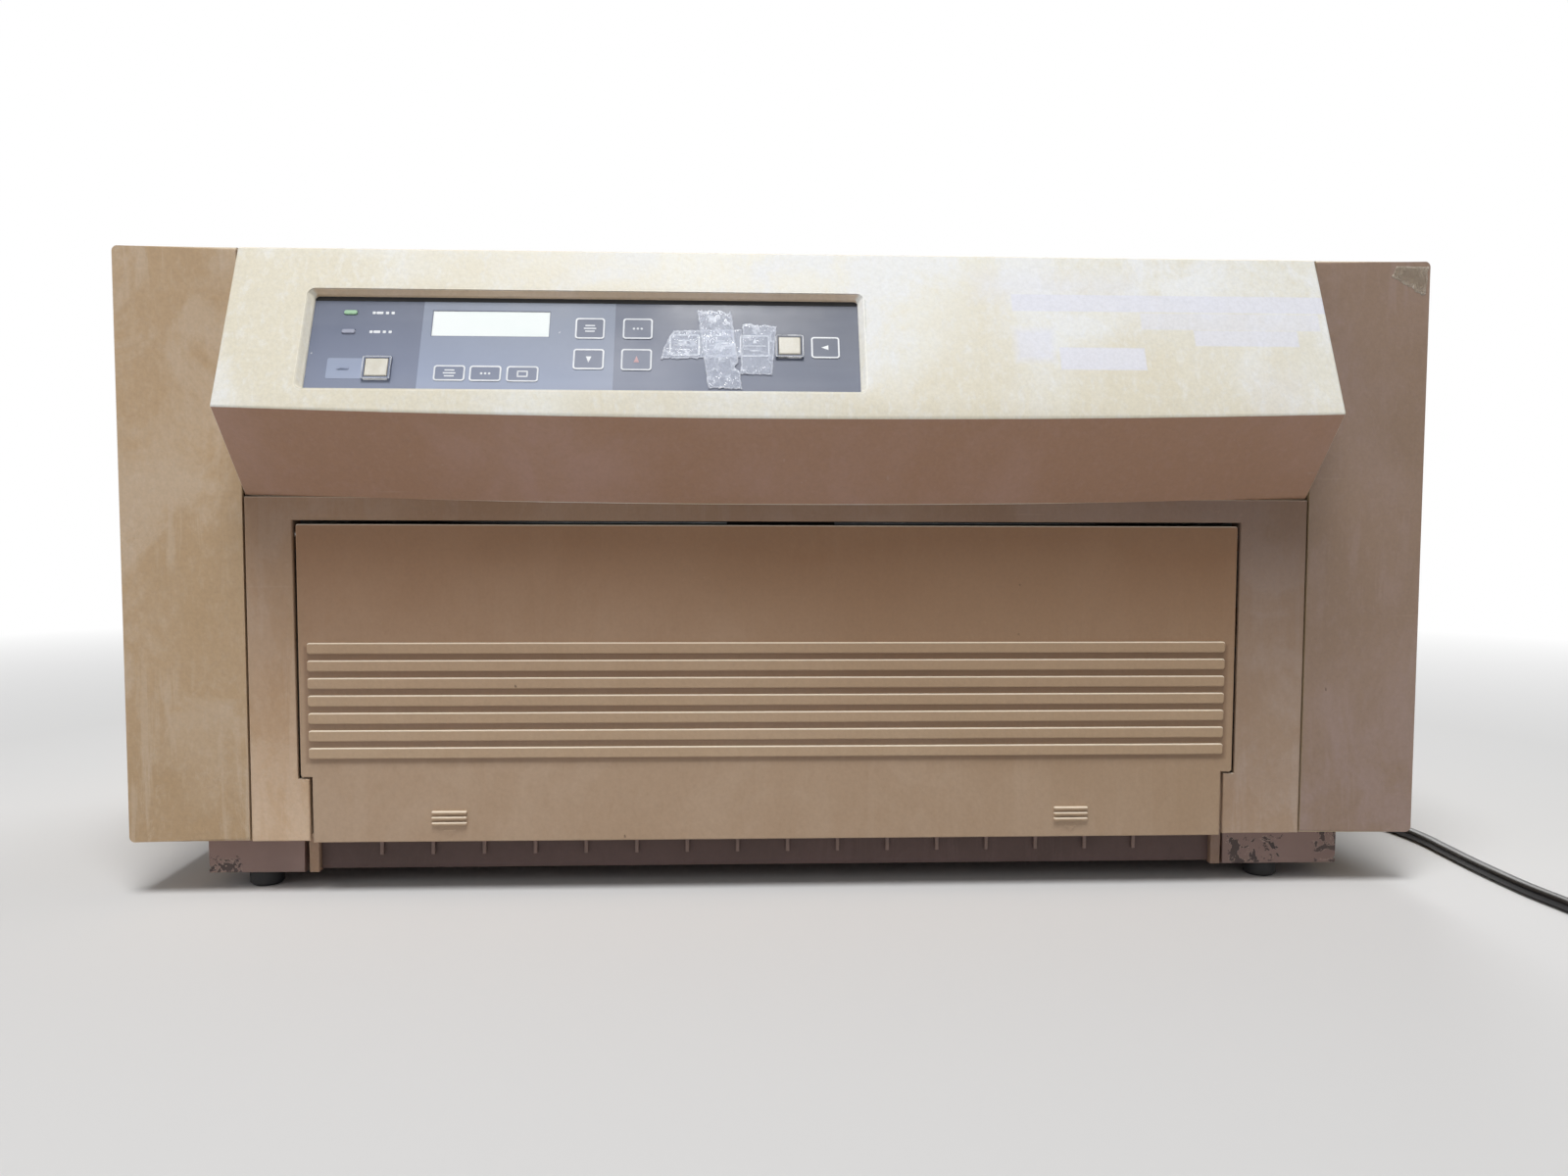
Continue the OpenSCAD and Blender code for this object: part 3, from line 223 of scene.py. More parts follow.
def cloud(place, scale, detail=2.0, roughness=0.5, bend=0.0, stretch=None):  # soft noise, 0 to 1
    if stretch:
        place = add("Mapping", {"Vector": place, "Scale": stretch}).outputs[0]
    return add("TexNoise", {"Vector": place, "Scale": scale, "Detail": detail, "Roughness": roughness,
                            "Distortion": bend}).outputs["Fac"]


def newGroup(name, inputs, outputs):
    group = work["tree"] = bpy.data.node_groups.new(name, "ShaderNodeTree")
    for label, kind, value in inputs:
        socket = group.interface.new_socket(name=label, in_out="INPUT", socket_type="NodeSocket" + kind)
        socket.default_value = value
    for label, kind in outputs:
        group.interface.new_socket(name=label, in_out="OUTPUT", socket_type="NodeSocket" + kind)
    return group, group.nodes.new("NodeGroupInput").outputs, group.nodes.new("NodeGroupOutput")


def useGroup(effect, inputs):
    return add("Group", inputs, node_tree=effect).outputs


def makeMouldGrain():  # pebbled texture of moulded covers
    group, given, out = newGroup("mouldGrain", [("Grain Scale", "Float", 900.0), ("Depth", "Float", 1.0)],
                                 [("Height", "Float"), ("Speckle", "Float")])
    place = objectPlace()
    fine = cloud(place, given["Grain Scale"], 3.0, 0.6)
    pebble = add("TexVoronoi", {"Vector": place, "Scale": times(given["Grain Scale"], 0.62)},
                 feature="SMOOTH_F1").outputs["Distance"]
    height = calc("SUBTRACT", times(fine, 0.7), times(pebble, 0.8))
    feed(out, "Height", times(height, given["Depth"]))
    speckle = calc("SUBTRACT", fine, times(pebble, 0.35))
    feed(out, "Speckle", fit(speckle, 0.1, 0.5))
    return group


def makeAgeStains():  # cloudy patches, tide marks, vertical runs and browning of old plastic
    group, given, out = newGroup("ageStains", [
        ("Base", "Color", (0.5, 0.5, 0.5, 1)), ("Pale", "Color", (0.7, 0.7, 0.7, 1)),
        ("Brown", "Color", (0.3, 0.3, 0.3, 1)), ("Patch Scale", "Float", 9.0), ("Pale Amount", "Float", 0.4),
        ("Brown Amount", "Float", 0.4), ("Run Amount", "Float", 0.3), ("Offset", "Vector", (0, 0, 0))],
        [("Color", "Color"), ("Mask", "Float")])
    place = add("VectorMath", {0: objectPlace(), 1: given["Offset"]}, operation="ADD").outputs[0]

    def stain(scale, detail, roughness, bend=0.0, squeeze=1.0):  # squeeze below 1 draws it out downwards
        return cloud(place, scale, detail, roughness, bend, (1.0, 1.0, squeeze))

    wide = stain(given["Patch Scale"], 3.0, 0.5, 0.3)
    blots = stain(times(given["Patch Scale"], 3.4), 9.0, 0.64, 0.7, 0.72)
    fine = stain(260.0, 4.0, 0.65, 0.2, 0.5)
    runs = stain(105.0, 5.0, 0.6, 0.25, 0.08)
    fade = stain(13.0, 3.0, 0.5)
    tide = fit(calc("ABSOLUTE", calc("SUBTRACT", blots, 0.545)), 0.009, 0.0)
    pale = times(fit(blots, 0.46, 0.58), fit(wide, 0.38, 0.56), given["Pale Amount"])
    pale = calc("ADD", pale, times(fit(fine, 0.5, 0.68), given["Pale Amount"], 0.4), clamp=True)
    brown = times(fit(wide, 0.54, 0.4), given["Brown Amount"])
    brown = calc("MAXIMUM", brown, times(fit(fine, 0.46, 0.34), given["Brown Amount"], 0.45))
    run = times(fit(runs, 0.53, 0.6), fit(fade, 0.44, 0.56), given["Run Amount"])
    mark = times(tide, fit(fade, 0.47, 0.56), given["Run Amount"], 0.7)
    aged = blendColor(brown, given["Base"], given["Brown"])
    for mask in (pale, run, mark):
        aged = blendColor(mask, aged, given["Pale"])
    feed(out, "Color", aged)
    feed(out, "Mask", calc("MAXIMUM", pale, run))
    return group


def makeNicks():  # sparse small dark nicks
    group, given, out = newGroup("darkNicks", [("Nick Scale", "Float", 70.0), ("Share", "Float", 0.1)],
                                 [("Mask", "Float")])
    place = objectPlace()
    bent = add("TexNoise", {"Vector": place, "Scale": 300.0}).outputs["Color"]
    shift = add("VectorMath", {0: bent, 1: (0.003, 0.003, 0.003)}, operation="MULTIPLY").outputs[0]
    moved = add("VectorMath", {0: place, 1: shift}, operation="ADD").outputs[0]
    cells = add("TexVoronoi", {"Vector": moved, "Scale": given["Nick Scale"]}).outputs
    chosen = add("SeparateColor", {0: cells["Color"]}).outputs["Red"]
    spot = fit(cells["Distance"], 0.07, 0.035)
    feed(out, "Mask", times(spot, calc("LESS_THAN", chosen, given["Share"])))
    return group


def makeUpperShade():  # 0 below, 1 above, between two heights, with a ragged limit
    group, given, out = newGroup(
        "upperShade", [("Low", "Float", 0.1), ("High", "Float", 0.2)], [("Mask", "Float")])
    wander = calc("SUBTRACT", cloud(objectPlace(), 8.0, 3.0), 0.5)
    moved = calc("ADD", axes()["Z"], times(wander, 0.05))
    feed(out, "Mask", fit(moved, given["Low"], given["High"]))
    return group


def makePatch():  # a rectangle in X and Z with soft, slightly ragged sides
    group, given, out = newGroup("residuePatch", [
        ("Left", "Float", 0.0), ("Right", "Float", 0.1), ("Low", "Float", 0.0), ("High", "Float", 0.1),
        ("Soft", "Float", 0.001), ("Ragged", "Float", 0.0003)], [("Mask", "Float")])
    shake = calc("SUBTRACT", cloud(objectPlace(), 160.0, 3.0), 0.5)
    shake = times(shake, given["Ragged"])
    inside = []
    for axis, low, top in (("X", "Left", "Right"), ("Z", "Low", "High")):
        value = calc("ADD", axes()[axis], shake)
        for near, far in ((value, given[low]), (given[top], value)):
            inside.append(calc("DIVIDE", calc("SUBTRACT", near, far), given["Soft"]))
    least = calc("MINIMUM", calc("MINIMUM", inside[0], inside[1]), calc("MINIMUM", inside[2], inside[3]))
    feed(out, "Mask", calc("ADD", least, 0.5, clamp=True))
    return group


def makeChips():  # places where paint has come off
    group, given, out = newGroup("paintChips", [("Chip Scale", "Float", 70.0), ("Level", "Float", 0.6)],
                                 [("Mask", "Float"), ("Edge", "Float")])
    flakes = cloud(objectPlace(), given["Chip Scale"], 6.0, 0.62, 0.6)
    bare = calc("SUBTRACT", flakes, given["Level"])
    mask = fit(bare, 0.0, 0.012)
    feed(out, "Mask", mask)
    feed(out, "Edge", calc("SUBTRACT", fit(bare, -0.02, 0.0), mask))
    return group


def makeDust():  # loose dust on what faces up
    group, given, out = newGroup("dustFilm", [("Amount", "Float", 0.3)], [("Mask", "Float")])
    drift = cloud(objectPlace(), 38.0, 6.0, 0.7)
    mask = times(fit(axes("Normal")["Z"], 0.35, 0.95), fit(drift, 0.25, 0.75, 0.3, 0.9))
    feed(out, "Mask", times(mask, given["Amount"]))
    return group


def makeScuffs():  # short fine scratches in two directions
    group, given, out = newGroup("fineScuffs", [("Amount", "Float", 0.5)], [("Mask", "Float")])
    lines = []
    for turn, stretch in (((0.3, 0.5, 0.9), (9.0, 260.0, 260.0)), ((0.9, 0.2, 0.4), (260.0, 12.0, 260.0))):
        moved = add("Mapping", {"Vector": objectPlace(), "Rotation": turn, "Scale": stretch})
        lines.append(fit(cloud(moved.outputs[0], 1.0), 0.72, 0.78))
    both = calc("MAXIMUM", lines[0], lines[1])
    feed(out, "Mask", times(both, given["Amount"]))
    return group


mouldGrain = makeMouldGrain()
ageStains = makeAgeStains()
darkNicks = makeNicks()
upperShade = makeUpperShade()
residuePatch = makePatch()
paintChips = makeChips()
dustFilm = makeDust()
fineScuffs = makeScuffs()


def share(effect, amount):  # mask of the dust or of the scuffs
    return useGroup(effect, {"Amount": amount})["Mask"]


def rectangle(left, right, low, high, soft):  # mask of a patch, in millimetres
    return useGroup(residuePatch, {"Left": left * mm, "Right": right * mm, "Low": low * mm,
                                   "High": high * mm, "Soft": soft * mm})["Mask"]


def newMaterial(name):
    material = bpy.data.materials.new(name)
    material.use_nodes = True
    work["tree"] = material.node_tree
    return material, material.node_tree.nodes["Principled BSDF"]


def bump(shader, height, strength, distance):
    made = add("Bump", {"Height": height, "Strength": strength, "Distance": distance})
    feed(shader, "Normal", made.outputs["Normal"])


usualCover = {"grain": 620.0, "patch": 9.0, "paleAmount": 0.5, "brownAmount": 0.4, "runs": 0.3, "rough": 0.55,
              "speck": 0.06, "dust": 0.25, "scuffs": 0.06, "nicks": 0.05, "bump": 0.4, "offset": (0, 0, 0),
              "dustColor": (214, 210, 200), "nickColor": (92, 72, 56), "cornerSheenColor": (226, 214, 196),
              "ledgeHighlightColor": (244, 232, 212)}


def coverPlastic(name, own):  # moulded cover plastic, aged; its colours are plain, pale and brown
    look = {**usualCover, **own}
    material, shader = newMaterial(name)
    place, normal = axes(), axes("Normal")
    grain = useGroup(mouldGrain, {"Grain Scale": look["grain"]})
    plain, pale, brown = look["colors"]
    aged = useGroup(ageStains, {
        "Base": plain, "Pale": pale, "Brown": brown, "Patch Scale": look["patch"],
        "Pale Amount": look["paleAmount"], "Brown Amount": look["brownAmount"], "Run Amount": look["runs"],
        "Offset": look["offset"]})
    color = aged["Color"]

    def tint(mask, shade, mode="MIX"):
        nonlocal color
        color = blendColor(mask, color, shade, mode)

    # painted shade: darker above a height, where the hood's overhang shades the face
    if "shade" in look:  # a tint above a height
        low, high, shade = look["shade"]
        tint(useGroup(upperShade, {"Low": low, "High": high})["Mask"], shade, "MULTIPLY")
    # painted shade: darker towards the right, away from the light on the left
    if "across" in look:  # a tint that grows from left to right
        left, right, shade = look["across"]
        tint(fit(place["X"], left, right), shade, "MULTIPLY")
    # painted light: paler on the faces that look up, as lit from above
    if "top" in look:  # paler on the faces that look up
        tint(fit(normal["Z"], 0.6, 0.95, 0.0, 0.75), look["top"])
    # painted light: paler on the faces that stand proud, the door's ribs and the apron's ribs, which catch the
    # light
    if "lift" in look:  # paler where it stands in front of a plane
        plane, amount, shade = look["lift"]
        tint(fit(place["Y"], (plane + 0.2) * mm, (plane - 0.2) * mm, 0.0, amount), shade)
    if "grooves" in look:  # shade between the ribs
        *sides, plane, shade = look["grooves"]
        behind = fit(place["Y"], (plane - 0.1) * mm, (plane + 0.1) * mm)
        tint(times(behind, rectangle(*sides, 1.5)), shade, "MULTIPLY")
    if "cornerSheen" in look:  # painted sheen on the rounded corners between the front and the sides
        corner = times(fit(calc("ABSOLUTE", normal["X"]), 0.2, 0.5), fit(normal["Y"], -0.15, -0.35))
        tint(times(corner, look["cornerSheen"]), look["cornerSheenColor"])
    # painted shade: darker on the faces that look forward
    if "frontShade" in look:  # a tint on the faces that look forward
        tint(fit(normal["Y"], -0.3, -0.8), look["frontShade"], "MULTIPLY")
    for *sides, amount in look.get("patches", []):  # what labels left behind
        tint(times(rectangle(*sides), amount), look["residue"])
    # painted shade on the faces that look down and forward, such as the hood's lower face
    if "under" in look:  # faces that look down and forward
        tint(times(fit(normal["Z"], -0.3, -0.55), fit(normal["Y"], -0.3, -0.55)), look["under"], "MULTIPLY")
    speck = fit(grain["Speckle"], 0.0, 1.0, 1 - look["speck"], 1 + look["speck"])
    grey = add("CombineColor", {"Red": speck, "Green": speck, "Blue": speck}).outputs[0]
    color = blendColor(1.0, color, grey, "MULTIPLY")
    tint(share(dustFilm, look["dust"]), look["dustColor"])
    if "ledgeHighlight" in look:  # painted highlight: bright along the edges and faces that look up, where light from above catches them
        low, high, amount = look["ledgeHighlight"]
        tint(fit(normal["Z"], low, high, 0.0, amount), look["ledgeHighlightColor"])
    tint(share(fineScuffs, look["scuffs"]), pale)
    tint(times(useGroup(darkNicks, {"Share": look["nicks"]})["Mask"], 0.75), look["nickColor"])
    feed(shader, "Base Color", color)
    rough = calc("ADD", fit(grain["Speckle"], 0, 1, look["rough"] - 0.05, look["rough"] + 0.06),
                 times(aged["Mask"], 0.15), clamp=True)
    feed(shader, "Roughness", rough)
    bump(shader, grain["Height"], look["bump"], 0.0003)
    return material


usualFinish = {"cloud": 45.0, "scuffs": 0.2, "dust": 0.18, "spread": 0.1, "metal": 0.0, "coat": 0.0,
               "shine": 0.5, "brush": (1, 1, 1), "grain": 700.0, "bump": 0.15, "dustColor": (170, 166, 158)}


def plainFinish(name, own):  # plastics, rubbers and metals; their colours are plain, worn and scuffed
    look = {**usualFinish, **own}
    material, shader = newMaterial(name)
    place = objectPlace()
    plain, worn, scuffed = look["colors"]
    mottle = cloud(place, look["cloud"], 5.0, 0.6)
    color = blendColor(fit(mottle, 0.32, 0.7), plain, worn)
    color = blendColor(share(fineScuffs, look["scuffs"]), color, scuffed)
    dust = share(dustFilm, look["dust"])
    feed(shader, "Base Color", blendColor(dust, color, look["dustColor"]))
    rough = fit(mottle, 0.3, 0.7, look["rough"] - look["spread"], look["rough"] + look["spread"])
    feed(shader, "Roughness", calc("ADD", rough, times(dust, 0.4), clamp=True))
    for socket, key in (("Metallic", "metal"), ("Coat Weight", "coat"), ("Specular IOR Level", "shine")):
        feed(shader, socket, look[key])
    bump(shader, cloud(place, look["grain"], 3.0, stretch=look["brush"]), look["bump"], 0.00015)
    return material


finishLooks = {  # material slot, name of the material and what differs from the usual finish
    "zinc_steel": ("zincSheet", {
        "colors": ((168, 170, 171), (146, 149, 152), (205, 206, 206)), "rough": 0.38, "metal": 1.0,
        "cloud": 60.0, "brush": (1, 1, 14), "grain": 160.0, "bump": 0.06}),
    "bright_steel": ("groundSteel", {
        "colors": ((200, 202, 204), (182, 184, 188), (225, 225, 226)), "rough": 0.17, "metal": 1.0,
        "spread": 0.05, "brush": (1, 30, 30), "grain": 90.0, "bump": 0.03, "dust": 0.05}),
    "black_plastic": ("blackMoulding", {
        "colors": ((34, 34, 36), (46, 46, 48), (90, 90, 92)), "rough": 0.5, "scuffs": 0.14}),
    "white_plastic": ("acetalWhite", {
        "colors": ((222, 221, 212), (205, 202, 190), (240, 240, 235)), "rough": 0.42, "scuffs": 0.1}),
    "blue_plastic": ("leverBlue", {
        "colors": ((66, 108, 170), (56, 92, 148), (130, 160, 205)), "rough": 0.42}),
    "rubber": ("mattRubber", {
        "colors": ((33, 33, 35), (52, 51, 50), (84, 82, 80)), "rough": 0.78, "grain": 1100.0, "bump": 0.2}),
    "cord_rubber": ("glossySheath", {
        "colors": ((14, 14, 16), (22, 22, 25), (70, 70, 74)), "rough": 0.26, "spread": 0.06, "scuffs": 0.1,
        "dust": 0.12, "bump": 0.05}),
    "motor_metal": ("motorPaint", {
        "colors": ((92, 94, 98), (74, 76, 80), (150, 152, 156)), "rough": 0.45, "metal": 0.55}),
    "bronze": ("sinteredBronze", {
        "colors": ((178, 140, 88), (150, 112, 66), (214, 184, 132)), "rough": 0.36, "metal": 1.0,
        "grain": 1400.0, "bump": 0.25}),
    "green_lens": ("greenLens", {
        "colors": ((170, 206, 172), (156, 196, 160), (200, 228, 204)), "rough": 0.22, "coat": 0.3,
        "dust": 0.1}),
    "grey_lens": ("greyLens", {
        "colors": ((166, 170, 188), (152, 156, 174), (196, 198, 212)), "rough": 0.24, "coat": 0.3,
        "dust": 0.1}),
    "display_glass": ("displayFace", {
        "colors": ((250, 254, 254), (245, 252, 251), (246, 250, 249)), "rough": 0.55, "spread": 0.05,
        "shine": 0.1, "dust": 0.06, "cloud": 18.0, "bump": 0.03}),
}
finishes = {slot: plainFinish(*look) for slot, look in finishLooks.items()}
print("shared finishes made")


def smokedFinish():
    material, shader = newMaterial("smokedAcrylic")
    scuffs, dust = share(fineScuffs, 0.2), share(dustFilm, 0.16)
    color = blendColor(scuffs, (52, 50, 54), (150, 148, 146))
    feed(shader, "Base Color", blendColor(dust, color, (176, 172, 164)))
    feed(shader, "Alpha", fit(calc("MAXIMUM", scuffs, dust), 0.0, 0.6, 0.62, 0.95))
    feed(shader, "Roughness", fit(dust, 0.0, 0.35, 0.08, 0.4))
    feed(shader, "Coat Weight", 0.4)
    return material


boardParts = {"top": (0.0417, 0.0421), "connector": (0.149, 0.15), "socket": (-151, -89, 45.2, 53.5, 1.0)}


def boardFinish(look):  # solder resist with lighter tracks and pads; black and steel where parts stand on it
    material, shader = newMaterial("circuitBoard")
    place = objectPlace()
    tracks = add("TexBrick", {
        "Vector": place, "Scale": 90.0, "Mortar Size": 0.018, "Brick Width": 0.7, "Row Height": 0.22,
        "Color1": (0, 0, 0, 1), "Color2": (0, 0, 0, 1), "Mortar": (1, 1, 1, 1)}).outputs["Color"]
    pads = add("TexVoronoi", {"Vector": place, "Scale": 260.0}).outputs["Distance"]
    pad = fit(pads, 0.16, 0.12)
    color = blendColor(fit(cloud(place, 30.0, 4.0), 0.3, 0.7), (38, 84, 54), (50, 98, 62))
    above = fit(axes()["Z"], *look["top"])
    rear = times(above, fit(axes()["Y"], *look["connector"]))
    for mask, shade in ((times(tracks, 0.45), (92, 140, 92)), (times(pad, 0.8), (190, 186, 168)),
                        (above, (42, 42, 45)), (rear, (158, 160, 163)),
                        (times(rear, rectangle(*look["socket"])), (34, 34, 37))):
        color = blendColor(mask, color, shade)
    dust = share(dustFilm, 0.4)
    feed(shader, "Base Color", blendColor(dust, color, (168, 162, 150)))
    feed(shader, "Roughness", fit(dust, 0.0, 0.4, 0.36, 0.75))
    bump(shader, calc("ADD", pad, tracks), 0.2, 0.0002)
    return material


panChips = {"zones": ((-340, -294, 0, 19), (252, 283, 6, 26), (302, 340, 6, 30)), "soft": 7,
            "front": (-0.11, -0.12)}


def panPaint(look):  # sprayed sheet steel, chipped to the dark primer in some zones of its front
    material, shader = newMaterial("chippedPaint")
    where, depth = 0.0, axes()["Y"]
    for zone in look["zones"]:
        where = calc("ADD", where, rectangle(*zone, look["soft"]))
    where = times(where, fit(depth, *look["front"]))
    chips = useGroup(paintChips, {"Chip Scale": 130.0, "Level": fit(where, 0.0, 1.0, 0.78, 0.52)})
    small = useGroup(paintChips, {"Chip Scale": 380.0, "Level": fit(where, 0.0, 0.6, 0.72, 0.62)})
    bare = calc("MAXIMUM", chips["Mask"], small["Mask"])
    mottle = cloud(objectPlace(), 26.0, 5.0)
    color = blendColor(fit(mottle, 0.3, 0.7), (150, 124, 116), (130, 106, 99))
    color = blendColor(fit(depth, -0.1, 0.05), color, (148, 132, 112))
    metal = blendColor(fit(mottle, 0.35, 0.65), (66, 56, 56), (92, 78, 74))
    color = blendColor(times(chips["Edge"], 0.6), color, (196, 174, 160))
    feed(shader, "Base Color", blendColor(bare, color, metal))
    feed(shader, "Roughness", fit(bare, 0, 1, 0.5, 0.72))
    bump(shader, calc("SUBTRACT", times(mottle, 0.2), bare), 0.5, 0.0004)
    return material


filmTint = {"height": (0.315, 0.272), "across": (-0.2, 0.02), "acrossColor": (188, 189, 191),
            "speck": (216, 216, 222)}


def panelFilm(name, look):  # printed membrane, faintly glossy, rubbed
    material, shader = newMaterial(name)
    place, spot = objectPlace(), axes()
    mottle = cloud(place, 24.0, 5.0, 0.6)
    streak = cloud(place, 1.0, 4.0, stretch=(6.0, 60.0, 60.0))
    top, foot, rubbed = look["colors"]
    color = blendColor(fit(spot["Z"], *filmTint["height"]), top, foot)
    # painted shade: the film darker towards the right, away from the light on the left
    color = blendColor(fit(spot["X"], *filmTint["across"]), color, filmTint["acrossColor"], "MULTIPLY")
    color = blendColor(fit(mottle, 0.42, 0.75, 0.0, 0.3), color, rubbed)
    color = blendColor(fit(streak, 0.55, 0.8, 0.0, 0.25), color, rubbed)
    specks = useGroup(darkNicks, {"Nick Scale": 120.0, "Share": 0.16})["Mask"]
    feed(shader, "Base Color", blendColor(times(specks, 0.7), color, filmTint["speck"]))
    feed(shader, "Roughness", fit(mottle, 0.3, 0.7, 0.3, 0.5))
    bump(shader, cloud(place, 1500.0), 0.12, 0.0001)
    return material


printed = {"rough": 0.45, "dust": 0.0, "bump": 0.05}
finishes["smoked"] = smokedFinish()
finishes["board_green"] = boardFinish(boardParts)
finishes["pan_paint"] = panPaint(panChips)
finishes["panel_film"] = panelFilm("slateFilm", {"colors": ((82, 90, 111), (121, 130, 154), (122, 129, 146))})
centreFilm = panelFilm("paleFilm", {"colors": ((118, 127, 145), (150, 161, 187), (160, 170, 190))})
printWhite = plainFinish("printedWhite", {
    **printed, "colors": ((238, 240, 242), (216, 220, 226), (190, 194, 202))})
printRed = plainFinish("printedRose", {
    **printed, "colors": ((206, 168, 170), (188, 146, 150), (170, 160, 168))})
# black for painted shadow in the panel's gaps
shadowBlack = plainFinish("shadowGapBlack", {"colors": ((16, 16, 18), (24, 24, 26), (44, 44, 46)), "rough": 0.7,
                                         "dust": 0.05})
finishes["beige_plastic"] = finishes["door_plastic"] = coverPlastic("tanCover", {
    "colors": ((190, 168, 134), (206, 192, 172), (172, 144, 108)), "rough": 0.56})
finishes["cream_plastic"] = coverPlastic("creamCover", {
    "colors": ((228, 221, 203), (232, 230, 222), (218, 204, 168)), "rough": 0.5, "runs": 0.1})


# the mains lead: a moulded boot, the way along the table, a wound coil and the plug on it
lead = {
    "thickness": 7.3, "length": 1.7, "above": 0.25,
    "way": [(232, 201, 63), (232, 210, 62), (232, 220, 57.5), (232.5, 228.5, 49), (233.5, 233, 36),
            (236, 234, 23.5), (243, 233.5, 12.5), (254, 233, 6), (267, 232, 4), (290, 229, 3.9),
            (318, 221, 3.9), (344, 208, 3.9), (364, 190, 3.9), (377, 166, 3.9), (385, 136, 3.9), (389, 99, 3.9),
            (391, 59, 3.9), (393, 19, 3.9), (396, -16, 3.9), (402, -46, 3.9), (405, -71, 3.9),
            (404, -101, 3.9), (403, -126, 3.9), (403, -151, 3.9), (404, -176, 3.9), (407, -199, 3.9),
            (409, -217, 3.9)],
    "coil": (456, -235), "outer": 46.3, "inner": 31.5, "layer": 7.4, "perTurn": 16,
    "tail": [(150, 43.2, 12.6), (175, 42.4, 15.4), (200, 40.4, 17.8), (225, 38.2, 18.7), (250, 36.3, 19.2),
             (275, 34.5, 20.0), (300, 32.5, 22.0), (325, 31.0, 25.0), (345, 30.2, 27.3), (360, 30.0, 28.0)],
    "boot": {"length": 34, "radius": 6.4, "narrowing": 2.3, "groove": 0.55, "ribbed": (0.1, 0.94), "sides": 24},
    "tie": {"out": 39, "at": 2.2, "height": 7.5, "half": 11.2, "rise": 7.45, "corner": 3.2, "width": 2.4,
            "thick": (0.15, 1.15)},
}


def leadPoints(way):
    points = [Vector(p) for p in way["way"]]
    cx, cy = way["coil"]
    low = way["thickness"] / 2 + way["above"]
    steps, turn = way["perTurn"], math.radians(180)

    def onCoil(angle, radius, height):
        points.append(Vector((cx + radius * math.cos(angle), cy + radius * math.sin(angle), height)))

    for i in range(2 * steps + 1):  # two turns on the table, going inward
        onCoil(turn + 2 * math.pi * i / steps, way["outer"] - way["layer"] * i / steps, low)
    for i in range(1, 5):  # a quarter turn up onto them
        part = i / 4
        onCoil(turn + 2 * math.pi * i / steps, way["inner"] + 0.1 * part,
               low + way["layer"] * (3 * part ** 2 - 2 * part ** 3))
    for i in range(1, 26):  # back outward on top
        onCoil(turn + math.pi / 2 + 2 * math.pi * i / steps, way["inner"] + 0.1 + way["layer"] * i / steps,
               low + way["layer"])
    for degrees, radius, height in way["tail"]:
        onCoil(math.radians(degrees), radius, height)
    return [p * mm for p in points]


def smoothWay(points, step):  # the same way, rounded and evenly stepped
    fine = []
    for i in range(len(points) - 1):
        a, b = points[max(i - 1, 0)], points[i]
        c, d = points[i + 1], points[min(i + 2, len(points) - 1)]
        count = max(2, round((c - b).length / (step * mm)))
        for k in range(count):
            t = k / count
            fine.append(0.5 * (2 * b + (c - a) * t + (2 * a - 5 * b + 4 * c - d) * t ** 2
                               + (3 * b - a - 3 * c + d) * t ** 3))
    return fine + [points[-1]]


def makeBoot(look, line):  # ribbed strain relief, narrowing along the lead
    bm = bmesh.new()
    path = smoothWay(line[:5], 1.5)
    travelled, rings = 0.0, []
    for i, point in enumerate(path):
        if i:
            travelled += (point - path[i - 1]).length
        if travelled > look["length"] * mm:
            break
        part = travelled / (look["length"] * mm)
        grooved = i % 4 in (2, 3) and look["ribbed"][0] < part < look["ribbed"][1]
        radius = (look["radius"] - look["narrowing"] * part) * mm - (look["groove"] * mm if grooved else 0)
        ahead = (path[i + 1] - path[max(i - 1, 0)]).normalized()
        side = ahead.cross(Vector((0, 0, 1))).normalized() if abs(ahead.z) < 0.9 else Vector((1, 0, 0))
        other = ahead.cross(side)
        rings.append([bm.verts.new(point + radius * (math.cos(a) * side + math.sin(a) * other))
                      for a in (2 * math.pi * k / look["sides"] for k in range(look["sides"]))])
    skinRows(bm, rings)
    return finishPiece("lead_boot", bm, finishes["cord_rubber"], "chassis", sharp=60)


def makeTie(look, coil):  # flat band round the wound turns
    bm = bmesh.new()
    up, outward = Vector((0, 0, 1)), Vector((math.cos(look["at"]), math.sin(look["at"]), 0))
    centre = (Vector((*coil, look["height"])) + outward * look["out"]) * mm
    along = Vector((-outward.y, outward.x, 0))
    inner, outer = (roundLoop(-look["half"] - grow, look["half"] + grow, -look["rise"] - grow * 0.1,
                              look["rise"] + grow, look["corner"] + grow) for grow in look["thick"])
    addRing(bm, outer, inner, -look["width"], look["width"],
            lambda a, b, c: centre + (outward * a + up * b + along * c) * mm)
    return finishPiece("lead_tie", bm, finishes["black_plastic"], "chassis")


def makeLead(way):
    line = leadPoints(way)
    curve = bpy.data.curves.new("mains_lead", "CURVE")
    curve.dimensions = "3D"
    curve.bevel_depth = way["thickness"] / 2 * mm
    curve.bevel_resolution = 5
    curve.use_fill_caps = True
    spline = curve.splines.new("BEZIER")
    spline.bezier_points.add(len(line) - 1)
    for place, point in zip(spline.bezier_points, line):
        place.co = point
        place.handle_left_type = place.handle_right_type = "AUTO"
    spline.resolution_u = 5
    curve.materials.append(finishes["cord_rubber"])
    cordPiece = newObject("mains_lead", curve)
    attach(cordPiece, "chassis")
    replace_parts(cordPiece, "mains_cord", "cord_coil")
    makeBoot(way["boot"], line)
    makeTie(way["tie"], way["coil"])


makeLead(lead)
print("mains lead made")


